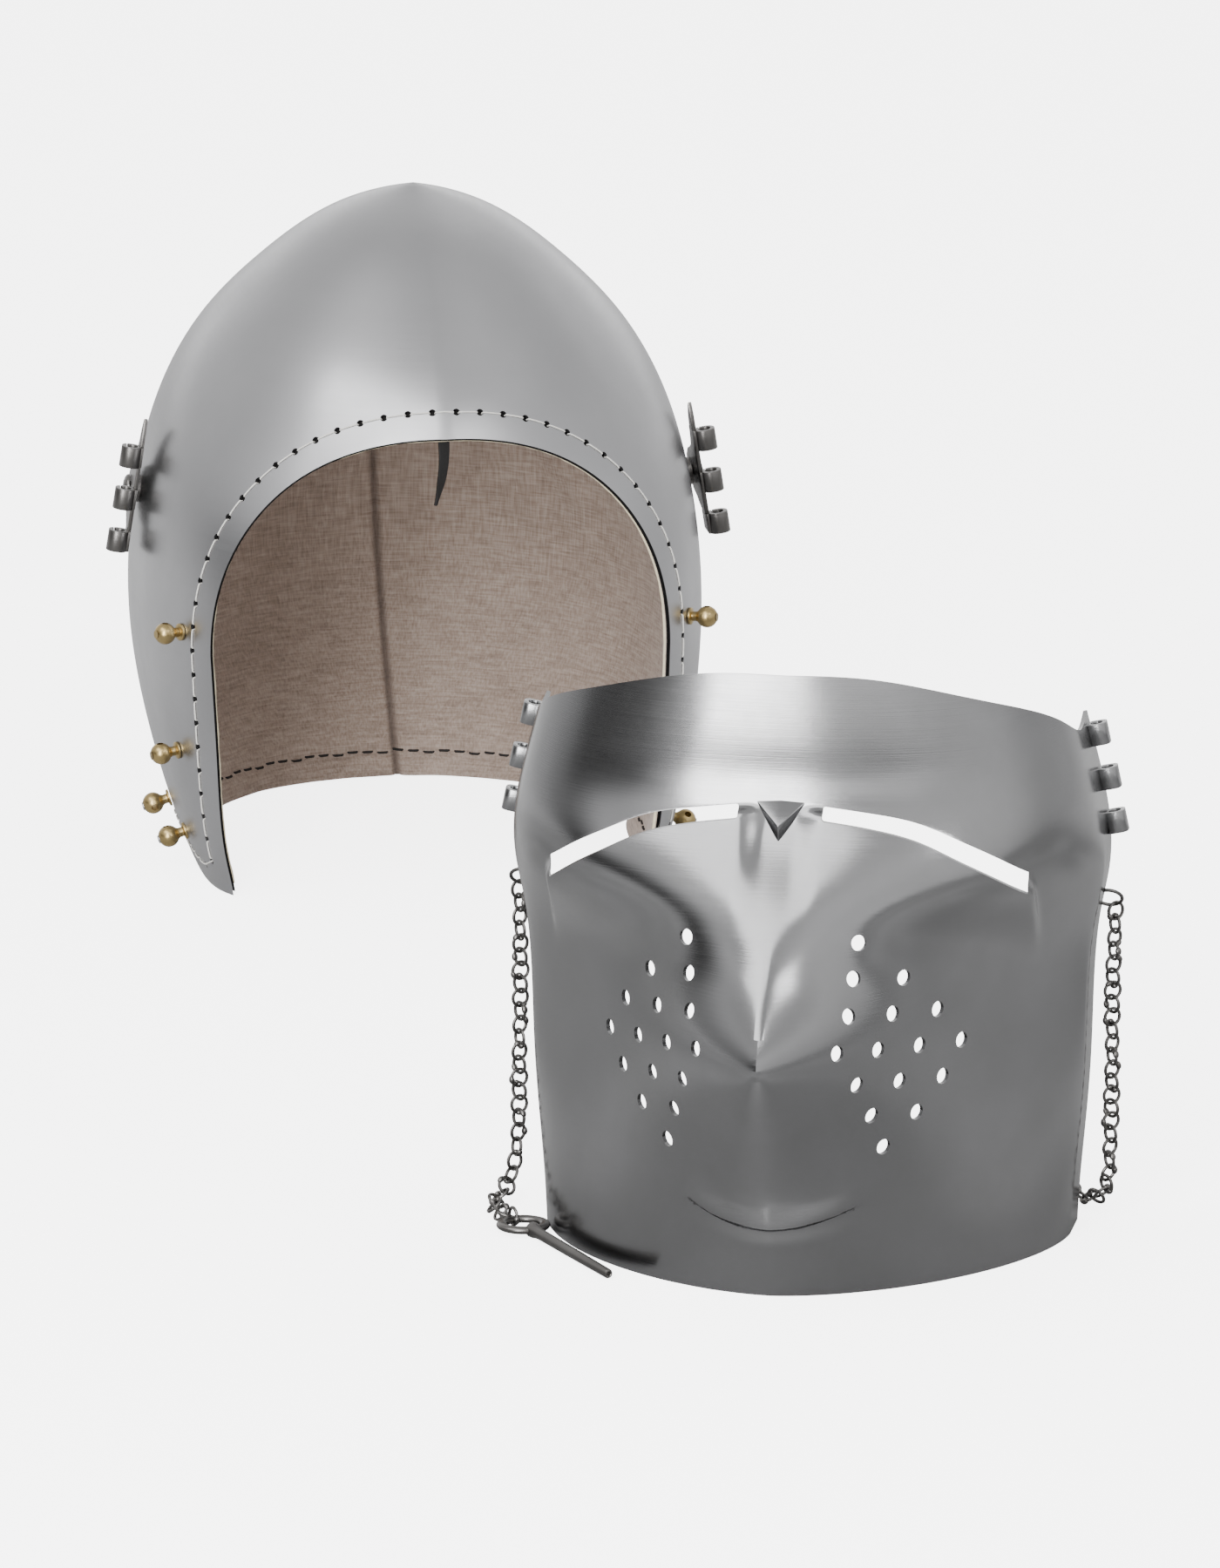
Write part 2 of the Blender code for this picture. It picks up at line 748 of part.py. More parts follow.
def ring_hole(side):
    out = visor_rear(RING_HOLE_HEIGHT) - VISOR_WALL / 2
    return Vector((side * out, VISOR_STRAIGHT - RING_HOLE_INSET, RING_HOLE_HEIGHT))


def make_visor(parent, finish):
    visor = object_from("visor", visor_shell(), parent, finish)
    add_wall(visor, VISOR_WALL)
    cut(visor, floor_block("visor_floor", 0, parent))

    barrels = bmesh.new()
    bores = bmesh.new()
    levels = knuckle_levels()
    corner = float(visor_crown(1)[0]) * VISOR_HEIGHT
    highest = corner - VISOR_KNUCKLE_BELOW_EDGE - KNUCKLE_HEIGHT / 2
    lowest = highest - (levels[-1] - levels[0])
    lean = math.atan2(visor_rear(highest) - visor_rear(lowest), highest - lowest)
    for side in (-1, 1):
        for level in levels:
            height = (lowest + highest) / 2 + level
            out = visor_rear(height) + KNUCKLE_RADIUS * VISOR_KNUCKLE_STANDOFF
            spot = Vector((side * out, VISOR_STRAIGHT - KNUCKLE_RADIUS, height))
            place = Matrix.Translation(spot) @ Matrix.Rotation(side * lean, 4, "Y")
            cylinder(barrels, KNUCKLE_RADIUS, KNUCKLE_RADIUS, KNUCKLE_HEIGHT,
                     KNUCKLE_SIDES, place)
            cylinder(bores, PIN_BORE, PIN_BORE, KNUCKLE_HEIGHT + CUTTER_REACH, KNUCKLE_SIDES, place)
        through = Matrix.Translation(ring_hole(side)) @ Matrix.Rotation(math.pi / 2, 4, "Y")
        cylinder(bores, RING_HOLE, RING_HOLE, CUTTER_REACH, KNUCKLE_SIDES, through)
        slot = object_from("slot_cutter", prism(slot_outline(side), -VISOR_DEPTH, 0), parent)
        cut(visor, slot)
    cut(visor, object_from("visor_knuckles", barrels, parent), "UNION")
    cut(visor, object_from("visor_bores", bores, parent))
    cut(visor, object_from("mouth_cutter", prism(mouth_outline(), -VISOR_DEPTH, 0), parent))
    cut(visor, breath_cutter(parent))
    return visor


def torus(body, centre, along, across, radius, wire, flattened=1.0):
    # A ring in the plane of two directions, its first corner along the first
    along = along.normalized()
    normal = along.cross(across).normalized()
    across = normal.cross(along)
    rings = []
    for i in range(RING_STEPS):
        turn = 2 * math.pi * i / RING_STEPS
        out = along * math.cos(turn) + across * math.sin(turn)
        ring = []
        for j in range(WIRE_SIDES):
            swing = 2 * math.pi * j / WIRE_SIDES
            ring.append(body.verts.new(centre + out * (radius - wire * math.cos(swing))
                                       + normal * wire * flattened * math.sin(swing)))
        rings.append(ring)
    for i in range(RING_STEPS):
        this, after = rings[i], rings[(i + 1) % RING_STEPS]
        for j in range(WIRE_SIDES):
            k = (j + 1) % WIRE_SIDES
            body.faces.new((this[j], after[j], after[k], this[k]))


def heading_vector(side_name):
    heading = PIN_HEADINGS[side_name]
    return Vector((math.cos(heading), math.sin(heading), 0))


def ring_frame(side):
    # The ring passes through the visor's hole and round its rear edge
    droop = Vector((side * RING_DROOP.x, RING_DROOP.y, RING_DROOP.z)).normalized()
    return ring_hole(side) + droop * RING_RADIUS, droop


def make_ring(side_name, side, parent, finish):
    centre, droop = ring_frame(side)
    body = bmesh.new()
    torus(body, centre, droop, Vector((1, 0, 0)), RING_RADIUS, RING_WIRE)
    return object_from("chain_ring_" + side_name, body, parent, finish)


def chain_route(side_name, side):
    return [Vector((side * (VISOR_WIDTH / 2 + out), back, height))
            for out, back, height in CHAIN_ROUTES[side_name]]


def make_chain(side_name, side, parent, finish):
    # A tube along the chain's route, from under its ring to the eye of its pin
    centre, droop = ring_frame(side)
    top = centre + droop * RING_RADIUS - Vector((0, 0, RING_WIRE + GAP))
    route = [top, *chain_route(side_name, side)]
    lengths = [0.0]
    for start, end in zip(route, route[1:]):
        lengths.append(lengths[-1] + (end - start).length)
    at = spline(lengths, [tuple(point) for point in route])
    count = round(lengths[-1] / CHAIN_STEP)
    curve = bpy.data.curves.new("chain_" + side_name, "CURVE")
    curve.dimensions = "3D"
    curve.bevel_depth = CHAIN_RADIUS
    curve.bevel_resolution = 2
    curve.use_fill_caps = True
    line = curve.splines.new("POLY")
    line.points.add(count)
    for index, point in enumerate(line.points):
        point.co = (*at(lengths[-1] * index / count), 1)
    curve.materials.append(finish)
    chain = bpy.data.objects.new("chain_" + side_name, curve)
    chain.parent = parent
    collection(PARTS).objects.link(chain)
    return chain


def make_pin(side_name, side, parent, finish):
    # The flat eye lies where the chain ends, the shaft beyond it on the floor
    ahead = heading_vector(side_name)
    end = chain_route(side_name, side)[-1]
    centre = Vector((end.x, end.y, EYE_HEIGHT)) + ahead * (EYE_RADIUS + EYE_WIRE + GAP)
    body = bmesh.new()
    sideways = Vector((-ahead.y, ahead.x, 0))
    torus(body, centre, ahead, sideways, EYE_RADIUS, EYE_WIRE, EYE_FLATTENED)
    pin = object_from("hinge_pin_" + side_name, body, parent, finish)

    root = centre + ahead * EYE_RADIUS
    tip = root + ahead * PIN_LENGTH
    tip.z = PIN_TIP_RADIUS + PIN_OFF_FLOOR
    shaft = bmesh.new()
    aim = (tip - root).to_track_quat("Z", "Y").to_matrix().to_4x4()
    cylinder(shaft, PIN_RADIUS, PIN_TIP_RADIUS, (tip - root).length, PIN_SIDES,
             Matrix.Translation((root + tip) / 2) @ aim)
    cut(pin, object_from("shaft_" + side_name, shaft, parent), "UNION")
    return pin


def centre_on_floor(frames):
    # The middle of the whole outline goes to the origin, the rims stay at Z 0
    bpy.context.view_layer.update()
    graph = bpy.context.evaluated_depsgraph_get()
    corners = []
    for thing in collection(PARTS).objects:
        if thing.type in {"MESH", "CURVE"}:
            shown = thing.evaluated_get(graph)
            mesh = shown.to_mesh()
            corners += [shown.matrix_world @ vert.co for vert in mesh.vertices]
            shown.to_mesh_clear()
    for axis in range(2):
        values = [corner[axis] for corner in corners]
        for frame in frames:
            frame.location[axis] -= (min(values) + max(values)) / 2
    bpy.context.view_layer.update()


def build():
    clear_scene()
    satin = material("satin steel", (0.55, 0.55, 0.56), 0.28, 1.0)
    bright = material("brushed steel", (0.42, 0.42, 0.43), 0.22, 1.0)
    dark = material("dark steel", (0.17, 0.17, 0.17), 0.4, 1.0)
    brass = material("aged brass", (0.42, 0.27, 0.09), 0.35, 1.0)
    cotton = material("padded cotton", (0.26, 0.19, 0.15), 0.95, 0.0)
    leather = material("black leather", (0.01, 0.01, 0.01), 0.6, 0.0)

    skull_frame = frame_empty("skull_frame", SKULL_PLACE, SKULL_TURN)
    visor_frame = frame_empty("visor_frame", VISOR_PLACE, VISOR_TURN)
    make_skull(skull_frame, satin)
    make_lining(skull_frame, cotton)
    make_lace(skull_frame, leather)

    bowl = skull_bowl(0)
    tree = BVHTree.FromBMesh(bowl)
    bowl.free()
    for side, side_name in ((-1, "left"), (1, "right")):
        seat = seat_on_skull(tree, ARM_HEIGHT, side * ARM_ANGLE)
        make_arm(side, "hinge_arm_" + side_name, seat, skull_frame, dark)
        make_pivot("pivot_" + side_name, seat, skull_frame, dark)
    for index, (height, angle) in enumerate(stud_places(), start=1):
        seat = seat_on_skull(tree, height, angle)
        make_stud(f"vervelle_{index:02d}", seat, skull_frame, brass)

    make_visor(visor_frame, bright)
    for side, side_name in ((-1, "left"), (1, "right")):
        make_ring(side_name, side, visor_frame, dark)
        make_chain(side_name, side, visor_frame, dark)
        make_pin(side_name, side, visor_frame, dark)
    centre_on_floor((skull_frame, visor_frame))


build()
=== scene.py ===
import json
import math

import bpy
import numpy as np
from mathutils import Matrix, Vector, noise
from mathutils.bvhtree import BVHTree


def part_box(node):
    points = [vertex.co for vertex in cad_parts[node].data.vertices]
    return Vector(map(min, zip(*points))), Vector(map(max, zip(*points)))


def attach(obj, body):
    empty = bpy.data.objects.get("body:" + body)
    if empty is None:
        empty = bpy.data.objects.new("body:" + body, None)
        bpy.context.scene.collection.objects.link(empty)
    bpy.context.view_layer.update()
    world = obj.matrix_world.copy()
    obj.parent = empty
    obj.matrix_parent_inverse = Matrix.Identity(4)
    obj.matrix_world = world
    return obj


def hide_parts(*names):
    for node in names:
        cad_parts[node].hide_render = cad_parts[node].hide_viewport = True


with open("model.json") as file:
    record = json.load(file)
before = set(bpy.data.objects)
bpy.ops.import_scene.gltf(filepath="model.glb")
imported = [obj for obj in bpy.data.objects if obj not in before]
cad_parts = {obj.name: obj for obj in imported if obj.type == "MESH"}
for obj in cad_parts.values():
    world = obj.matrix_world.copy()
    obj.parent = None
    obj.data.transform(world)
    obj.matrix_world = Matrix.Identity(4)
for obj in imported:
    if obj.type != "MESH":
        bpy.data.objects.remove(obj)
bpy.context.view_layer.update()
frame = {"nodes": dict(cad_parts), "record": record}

mm = 0.001

# The skull's apex is its highest point, and the visor stands in front of it
apex = max((v.co for v in frame["nodes"]["skull"].data.vertices), key=lambda co: co.z)
places = {
    "skullTurn": 7,
    "visorFromSkull": Vector((153, -576, 0)) * mm,
    "visorTurn": -8,
}
skullSpot = Vector((apex.x, apex.y, 0))
skullPlace = Matrix.Translation(skullSpot) @ Matrix.Rotation(math.radians(places["skullTurn"]), 4, "Z")
visorPlace = (Matrix.Translation(skullSpot + places["visorFromSkull"])
              @ Matrix.Rotation(math.radians(places["visorTurn"]), 4, "Z"))


# Small helpers

def linear(hexColour):
    values = [int(hexColour[i:i + 2], 16) / 255 for i in (1, 3, 5)]
    return tuple(v / 12.92 if v <= 0.04045 else ((v + 0.055) / 1.055) ** 2.4 for v in values) + (1.0,)


def addNode(tree, kind, settings=None, links=None, **properties):
    # Settings and links are by input name or number, a link is (node, output)
    node = tree.nodes.new(kind)
    for key, value in properties.items():
        setattr(node, key, value)
    for key, value in (settings or {}).items():
        node.inputs[key].default_value = value
    for key, (source, output) in (links or {}).items():
        tree.links.new(source.outputs[output], node.inputs[key])
    return node


def deselectAll():
    if bpy.context.mode != "OBJECT":
        bpy.ops.object.mode_set(mode="OBJECT")
    bpy.ops.object.select_all(action="DESELECT")


def named(name):
    piece = bpy.context.active_object
    piece.name = name
    piece.data.name = name
    return piece


def makeActive(piece):
    deselectAll()
    piece.select_set(True)
    bpy.context.view_layer.objects.active = piece


def applied(piece, kind, **settings):
    modifier = piece.modifiers.new(kind.lower(), kind)
    for key, value in settings.items():
        setattr(modifier, key, value)
    makeActive(piece)
    bpy.ops.object.modifier_apply(modifier=modifier.name)
    return piece


def cutAway(piece, cutter, folded=False):
    # Folded: the piece's own walls may pass through each other before the cut
    applied(piece, "BOOLEAN", operation="DIFFERENCE", solver="EXACT", use_self=folded, object=cutter)
    bpy.data.objects.remove(cutter, do_unlink=True)


def bevelled(piece, width, degrees=50, segments=2, **settings):
    return applied(piece, "BEVEL", width=width * mm, segments=segments, limit_method="ANGLE",
                   angle_limit=math.radians(degrees), **settings)


def facedOut(piece):
    # Every face of the mesh being edited points outwards, and the editing ends
    bpy.ops.mesh.select_all(action="SELECT")
    bpy.ops.mesh.normals_make_consistent(inside=False)
    bpy.ops.object.mode_set(mode="OBJECT")
    return piece


def treeOf(piece):
    mesh = piece.data
    return BVHTree.FromPolygons([v.co for v in mesh.vertices], [p.vertices for p in mesh.polygons])


def frontOf(tree, x, z):
    # The front of a surface, and the way out of it, as seen from the face
    spot, normal, _, _ = tree.ray_cast(Vector((x, -0.5, z)), Vector((0, 1, 0)))
    return spot, normal if normal.y < 0 else -normal


def aimed(spot, aim, up="Y"):
    # Z along the aim, at the spot
    return Matrix.Translation(spot) @ aim.to_track_quat("Z", up).to_matrix().to_4x4()


def newMaterial(name):
    material = bpy.data.materials.new(name)
    material.use_nodes = True
    return material, material.node_tree, material.node_tree.nodes["Principled BSDF"]


def joined(name, parts):
    makeActive(parts[0])
    for part in parts:
        part.select_set(True)
    bpy.ops.object.join()
    return named(name)


def copied(piece, place):
    twin = piece.copy()
    twin.data = piece.data.copy()
    twin.data.transform(place)
    bpy.context.collection.objects.link(twin)
    return twin


def finished(piece, place, material, body, nodes=(), smooth=35):
    # Place goes into the mesh, then the piece takes its finish and its body
    piece.data.transform(place)
    if place.is_negative:
        piece.data.flip_normals()
    piece.data.materials.clear()
    piece.data.materials.append(material)
    if smooth:
        makeActive(piece)
        bpy.ops.object.shade_smooth_by_angle(angle=math.radians(smooth))
    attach(piece, body)
    if nodes:
        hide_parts(*nodes)
    return piece


def splineThrough(knots, values):
    # Natural cubic spline through one row of values for each knot
    knots = np.array(knots, float)
    values = np.array(values, float)
    count = len(knots)
    span = np.diff(knots)
    system = np.eye(count)
    right = np.zeros(values.shape)
    for i in range(1, count - 1):
        system[i, i - 1:i + 2] = span[i - 1], 2 * (span[i - 1] + span[i]), span[i]
        right[i] = 6 * ((values[i + 1] - values[i]) / span[i] - (values[i] - values[i - 1]) / span[i - 1])
    bend = np.linalg.solve(system, right)

    def at(place):
        i = min(max(int(np.searchsorted(knots, place)) - 1, 0), count - 2)
        a = (knots[i + 1] - place) / span[i]
        b = 1 - a
        return (a * values[i] + b * values[i + 1]
                + ((a ** 3 - a) * bend[i] + (b ** 3 - b) * bend[i + 1]) * span[i] ** 2 / 6)

    return at


def smoothStep(low, high, value):
    t = min(max((value - low) / (high - low), 0.0), 1.0)
    return t * t * (3 - 2 * t)


mergeWithin = 0.002 * mm


def wrappedGrid(name, across, up, pointAt, closed):
    # A flat grid whose vertices are laid on a shape by their two shares
    deselectAll()
    bpy.ops.mesh.primitive_grid_add(x_subdivisions=across, y_subdivisions=up, size=2)
    piece = named(name)
    for vert in piece.data.vertices:
        vert.co = pointAt(min(max((vert.co.x + 1) / 2, 0), 1), min(max((vert.co.y + 1) / 2, 0), 1))
    bpy.ops.object.mode_set(mode="EDIT")
    bpy.ops.mesh.select_all(action="SELECT")
    if closed:
        bpy.ops.mesh.remove_doubles(threshold=mergeWithin)
    facedOut(piece)
    foremost = min(piece.data.polygons, key=lambda face: face.center.y)
    if foremost.normal.y > 0:
        piece.data.flip_normals()
    return piece


def outlinePrism(name, outline, near, far):
    # A closed outline in X and Z, drawn out along Y
    deselectAll()
    bpy.ops.mesh.primitive_circle_add(vertices=len(outline), fill_type="NGON")
    piece = named(name)
    for vert, (x, z) in zip(piece.data.vertices, outline):
        vert.co = (x, near, z)
    bpy.ops.object.mode_set(mode="EDIT")
    bpy.ops.mesh.select_all(action="SELECT")
    bpy.ops.mesh.extrude_region_move(TRANSFORM_OT_translate={"value": (0, far - near, 0)})
    return facedOut(piece)


def drillAt(spot, aim, radius, depth, vertices=24):
    deselectAll()
    bpy.ops.mesh.primitive_cylinder_add(vertices=vertices, radius=radius, depth=depth)
    drill = named("drill")
    drill.data.transform(aimed(spot, aim))
    return drill


def surfaceNormals(piece, shell, within=25):
    # Faces that follow the uncut shell keep its normals, so cuts leave no dents in the shine
    shellMesh = shell.data
    tree = treeOf(shell)
    vertexNormals = [v.normal.copy() for v in shellMesh.vertices]
    mesh = piece.data
    limit = math.cos(math.radians(within))
    found = {}
    for vert in mesh.vertices:
        spot, _, index, _ = tree.find_nearest(vert.co)
        corners = shellMesh.polygons[index].vertices
        weights = [1 / ((shellMesh.vertices[c].co - spot).length + 1e-7) for c in corners]
        normal = sum((vertexNormals[c] * w for c, w in zip(corners, weights)), Vector())
        found[vert.index] = normal.normalized()
    normals = [None] * len(mesh.loops)
    for polygon in mesh.polygons:
        for loop in polygon.loop_indices:
            shellNormal = found[mesh.loops[loop].vertex_index]
            lean = polygon.normal.dot(shellNormal)
            if lean > limit:
                normals[loop] = shellNormal
            elif lean < -limit:
                normals[loop] = -shellNormal
            else:
                normals[loop] = polygon.normal.copy()
    mesh.normals_split_custom_set(normals)


# Camera and studio

camera = {
    "elevation": 15,        # degrees above the floor
    "distance": 18,         # metres, a long lens like the photograph's
    "pixelsPerMetre": 2930,
    "apexAt": (474, 209),   # where the skull's apex is in the 1400 x 1800 frame
}
elevation = math.radians(camera["elevation"])
backwards = Vector((0, -math.cos(elevation), math.sin(elevation)))
upwards = Vector((0, math.sin(elevation), math.cos(elevation)))
aimAt = (Vector(apex)
         + Vector((1, 0, 0)) * (700 - camera["apexAt"][0]) / camera["pixelsPerMetre"]
         + upwards * (camera["apexAt"][1] - 900) / camera["pixelsPerMetre"])
deselectAll()
bpy.ops.object.camera_add(location=aimAt + backwards * camera["distance"],
                          rotation=(math.pi / 2 - elevation, 0, 0))
lens = named("photo_camera").data
lens.sensor_fit = "VERTICAL"
lens.sensor_height = 36
lens.lens = lens.sensor_height * camera["distance"] * camera["pixelsPerMetre"] / 1800
lens.clip_end = 100
bpy.context.scene.camera = bpy.context.active_object

studio = {
    "floorSize": 60,
    "floorColour": "#F6F6F6",
    "glow": 4.5,            # lifts the paper to the photograph's white
    # what the steel reflects of the floor: dim in front, bright behind, uneven, in metres along Y
    "floorBefore": "#9A9A9A", "floorBehind": "#D8D8D8", "brightens": (0.0, 0.62),
    "patches": 0.26, "patchDepth": 0.16,
    "above": 1.05,          # brightness of the room overhead
    "cloudiness": 0.25,     # how much that brightness varies, as a share
    "wallTop": (0.08, 0.42),    # height of the view, as a sine, over which wall turns to ceiling
    # the room's walls at eye level: degrees round from the camera's side, brightness
    "walls": [(-180, 2.2), (-150, 1.7), (-125, 0.8), (-100, 0.35), (-85, 0.10), (-62, 0.10), (-44, 0.6),
              (-25, 1.7), (0, 1.7), (30, 1.3), (65, 1.1), (95, 0.8), (125, 0.9), (150, 1.7), (180, 2.2)],
}


def makeFloor():
    deselectAll()
    bpy.ops.mesh.primitive_plane_add(size=studio["floorSize"])
    floor = named("studio_floor")
    paper, tree, shader = newMaterial("white studio paper")
    shader.inputs["Roughness"].default_value = 0.9
    shader.inputs["Specular IOR Level"].default_value = 0.1
    # The paper's glow is for the eye alone, the steel reflects it dimmer, as in a dark studio
    rays = addNode(tree, "ShaderNodeLightPath")
    coords = addNode(tree, "ShaderNodeTexCoord")
    parts = addNode(tree, "ShaderNodeSeparateXYZ", links={"Vector": (coords, "Object")})
    patches = addNode(tree, "ShaderNodeTexNoise", {"Scale": 1 / studio["patches"], "Detail": 1},
                      {"Vector": (coords, "Object")})
    uneven = addNode(tree, "ShaderNodeMapRange",
                     {"From Min": 0.38, "From Max": 0.62,
                      "To Min": -studio["patchDepth"], "To Max": studio["patchDepth"]},
                     {"Value": (patches, 0)})
    depth = addNode(tree, "ShaderNodeMapRange",
                    {"From Min": studio["brightens"][0], "From Max": studio["brightens"][1]},
                    {"Value": (parts, "Y")}, interpolation_type="SMOOTHSTEP")
    share = addNode(tree, "ShaderNodeMath", links={0: (depth, 0), 1: (uneven, 0)}, operation="ADD")
    reflected = addNode(tree, "ShaderNodeMix",
                        {6: linear(studio["floorBefore"]), 7: linear(studio["floorBehind"])},
                        {0: (share, 0)}, data_type="RGBA", clamp_factor=False)
    tone = addNode(tree, "ShaderNodeMix", {6: linear(studio["floorColour"])},
                   {0: (rays, "Is Glossy Ray"), 7: (reflected, 2)}, data_type="RGBA")
    glow = addNode(tree, "ShaderNodeMath", {1: studio["glow"]}, {0: (rays, "Is Camera Ray")},
                   operation="MULTIPLY")
    tree.links.new(tone.outputs[2], shader.inputs["Base Color"])
    tree.links.new(glow.outputs[0], shader.inputs["Emission Strength"])
    shader.inputs["Emission Color"].default_value = (1, 1, 1, 1)
    floor.data.materials.append(paper)


def makeRoom():
    # Even overhead, uneven round the walls, as the photograph's steel shows it
    room = bpy.data.worlds.new("studio room")
    bpy.context.scene.world = room
    room.use_nodes = True
    tree = room.node_tree
    coords = addNode(tree, "ShaderNodeTexCoord")
    parts = addNode(tree, "ShaderNodeSeparateXYZ", links={"Vector": (coords, "Generated")})
    forward = addNode(tree, "ShaderNodeMath", {1: -1}, {0: (parts, "Y")}, operation="MULTIPLY")
    turn = addNode(tree, "ShaderNodeMath", links={0: (parts, "X"), 1: (forward, 0)}, operation="ARCTAN2")
    share = addNode(tree, "ShaderNodeMapRange", {"From Min": -math.pi, "From Max": math.pi},
                    {"Value": (turn, 0)})
    walls = addNode(tree, "ShaderNodeFloatCurve", links={"Value": (share, 0)})
    curve = walls.mapping.curves[0]
    top = max(row[1] for row in studio["walls"])
    spots = [((angle + 180) / 360, bright / top) for angle, bright in studio["walls"]]
    for spot in spots[1:-1]:
        curve.points.new(*spot)
    curve.points[0].location = spots[0]
    curve.points[len(curve.points) - 1].location = spots[-1]
    walls.mapping.update()
    wall = addNode(tree, "ShaderNodeMath", {1: top}, {0: (walls, 0)}, operation="MULTIPLY")
    height = addNode(tree, "ShaderNodeMapRange",
                     {"From Min": studio["wallTop"][0], "From Max": studio["wallTop"][1]},
                     {"Value": (parts, "Z")}, interpolation_type="SMOOTHSTEP")
    clouds = addNode(tree, "ShaderNodeTexNoise", {"Scale": 1.6, "Detail": 1},
                     {"Vector": (coords, "Generated")})
    ceiling = addNode(tree, "ShaderNodeMapRange",
                      {"From Min": 0.35, "From Max": 0.65,
                       "To Min": studio["above"] * (1 - studio["cloudiness"]),
                       "To Max": studio["above"] * (1 + studio["cloudiness"])}, {"Value": (clouds, 0)})
    mixed = addNode(tree, "ShaderNodeMix", links={0: (height, 0), 2: (wall, 0), 3: (ceiling, 0)})
    background = tree.nodes["Background"]
    background.inputs["Color"].default_value = (1, 1, 1, 1)
    tree.links.new(mixed.outputs[0], background.inputs["Strength"])


lamps = {
    # name: centre, size across and up, power in watts
    "tall strip softbox, left of the camera": ((-0.88, -2.50, 1.00), (0.90, 2.0), 76),
    "large softbox, upper left": ((-0.95, -1.15, 2.05), (2.4, 1.1), 31),
    "small softbox, upper right": ((1.35, -1.5, 1.9), (0.6, 0.6), 7),
}


def makeLamps():
    for name, (centre, (across, up), power) in lamps.items():
        deselectAll()
        bpy.ops.object.light_add(type="AREA", location=centre)
        lamp = bpy.context.active_object
        lamp.name = name
        lamp.data.shape = "RECTANGLE"
        lamp.data.size = across
        lamp.data.size_y = up
        lamp.data.energy = power
        lamp.rotation_euler = (Vector((0, 0, 0.12)) - lamp.location).to_track_quat("-Z", "Y").to_euler()


makeFloor()
makeRoom()
makeLamps()
print("studio ready")


# Steels: polished mild steel, the brushing follows the wheel round each piece

steelFinishes = {
    # roughness and how much it varies, width of the brushed lines in millimetres, their depth
    "skull": {"name": "satin polished mild steel", "colour": "#B8B8BA", "shade": "#A8A8AA",
              "roughness": 0.33, "spread": 0.12, "grain": 0.45, "bump": 0.05},
    "visor": {"name": "bright brushed mild steel", "colour": "#98989A", "shade": "#888888",
              "roughness": 0.19, "spread": 0.12, "grain": 0.35, "bump": 0.10},
    "dark": {"name": "blackened mild steel", "colour": "#7E7C7A", "shade": "#5A5856",
             "roughness": 0.34, "spread": 0.18, "grain": 0.8, "bump": 0.12},
}


def steel(finish):
    material, tree, shader = newMaterial(finish["name"])
    shader.inputs["Metallic"].default_value = 1
    coords = addNode(tree, "ShaderNodeTexCoord")
    alongWheel = addNode(tree, "ShaderNodeMapping", {"Scale": (12, 12, 1 / (finish["grain"] * mm))},
                         {"Vector": (coords, "Object")})
    brushing = addNode(tree, "ShaderNodeTexNoise", {"Scale": 1, "Detail": 3, "Roughness": 0.65},
                       {"Vector": (alongWheel, 0)})
    # Patches a few centimetres wide, left by handling and oil
    haze = addNode(tree, "ShaderNodeTexNoise", {"Scale": 1 / (38 * mm), "Detail": 4, "Roughness": 0.6},
                   {"Vector": (coords, "Object")})
    handled = addNode(tree, "ShaderNodeMath", {1: 0.6}, {0: (haze, 0)}, operation="MULTIPLY")
    streaked = addNode(tree, "ShaderNodeMath", {1: 0.4}, {0: (brushing, 0), 2: (handled, 0)},
                       operation="MULTIPLY_ADD")
    rough = addNode(tree, "ShaderNodeMapRange",
                    {"From Min": 0.3, "From Max": 0.7,
                     "To Min": finish["roughness"] - finish["spread"] / 2,
                     "To Max": finish["roughness"] + finish["spread"] / 2}, {"Value": (streaked, 0)})
    tint = addNode(tree, "ShaderNodeMix",
                   {6: linear(finish["colour"]), 7: linear(finish["shade"])}, {0: (haze, 0)},
                   data_type="RGBA")
    bump = addNode(tree, "ShaderNodeBump", {"Strength": finish["bump"], "Distance": 0.2 * mm},
                   {"Height": (brushing, 0)})
    tree.links.new(tint.outputs[2], shader.inputs["Base Color"])
    tree.links.new(rough.outputs[0], shader.inputs["Roughness"])
    tree.links.new(bump.outputs[0], shader.inputs["Normal"])
    return material


steels = {key: steel(finish) for key, finish in steelFinishes.items()}
print("steels mixed")


# Skull: one raised steel bowl, open below and in front

skull = {
    "width": 224, "front": 122, "back": 126, "height": 263, "wall": 1.6,
    "keelHeight": 1.6, "keelWidth": 16,
    "backSquareness": 2.15, "squarenessFade": 0.3,
    "sections": [
        # height, width, front, back, squareness of the front's plan
        (-0.02, 0.790, 0.845, 0.668, 5.6),
        (0.06, 0.855, 0.878, 0.765, 4.9),
        (0.16, 0.922, 0.927, 0.873, 3.9),
        (0.34, 0.993, 0.990, 0.984, 2.8),
        (0.48, 0.985, 0.994, 0.986, 2.6),
        (0.61, 0.932, 0.960, 0.935, 2.25),
        (0.69, 0.868, 0.905, 0.865, 2.0),
        (0.78, 0.748, 0.778, 0.742, 1.95),
        (0.87, 0.553, 0.570, 0.545, 1.95),
        (0.95, 0.305, 0.320, 0.305, 2.0),
        (1.00, 0.000, 0.000, 0.000, 2.0),
    ],
    "across": 176, "up": 92,
}
faceOpening = {
    "width": 181, "height": 187, "arch": 2.15,
    # height and half width, as shares, of the cheek below the arch
    "cheek": [(-0.08, 0.885), (0.00, 0.900), (0.08, 0.935), (0.27, 0.975), (0.52, 1.0)],
}
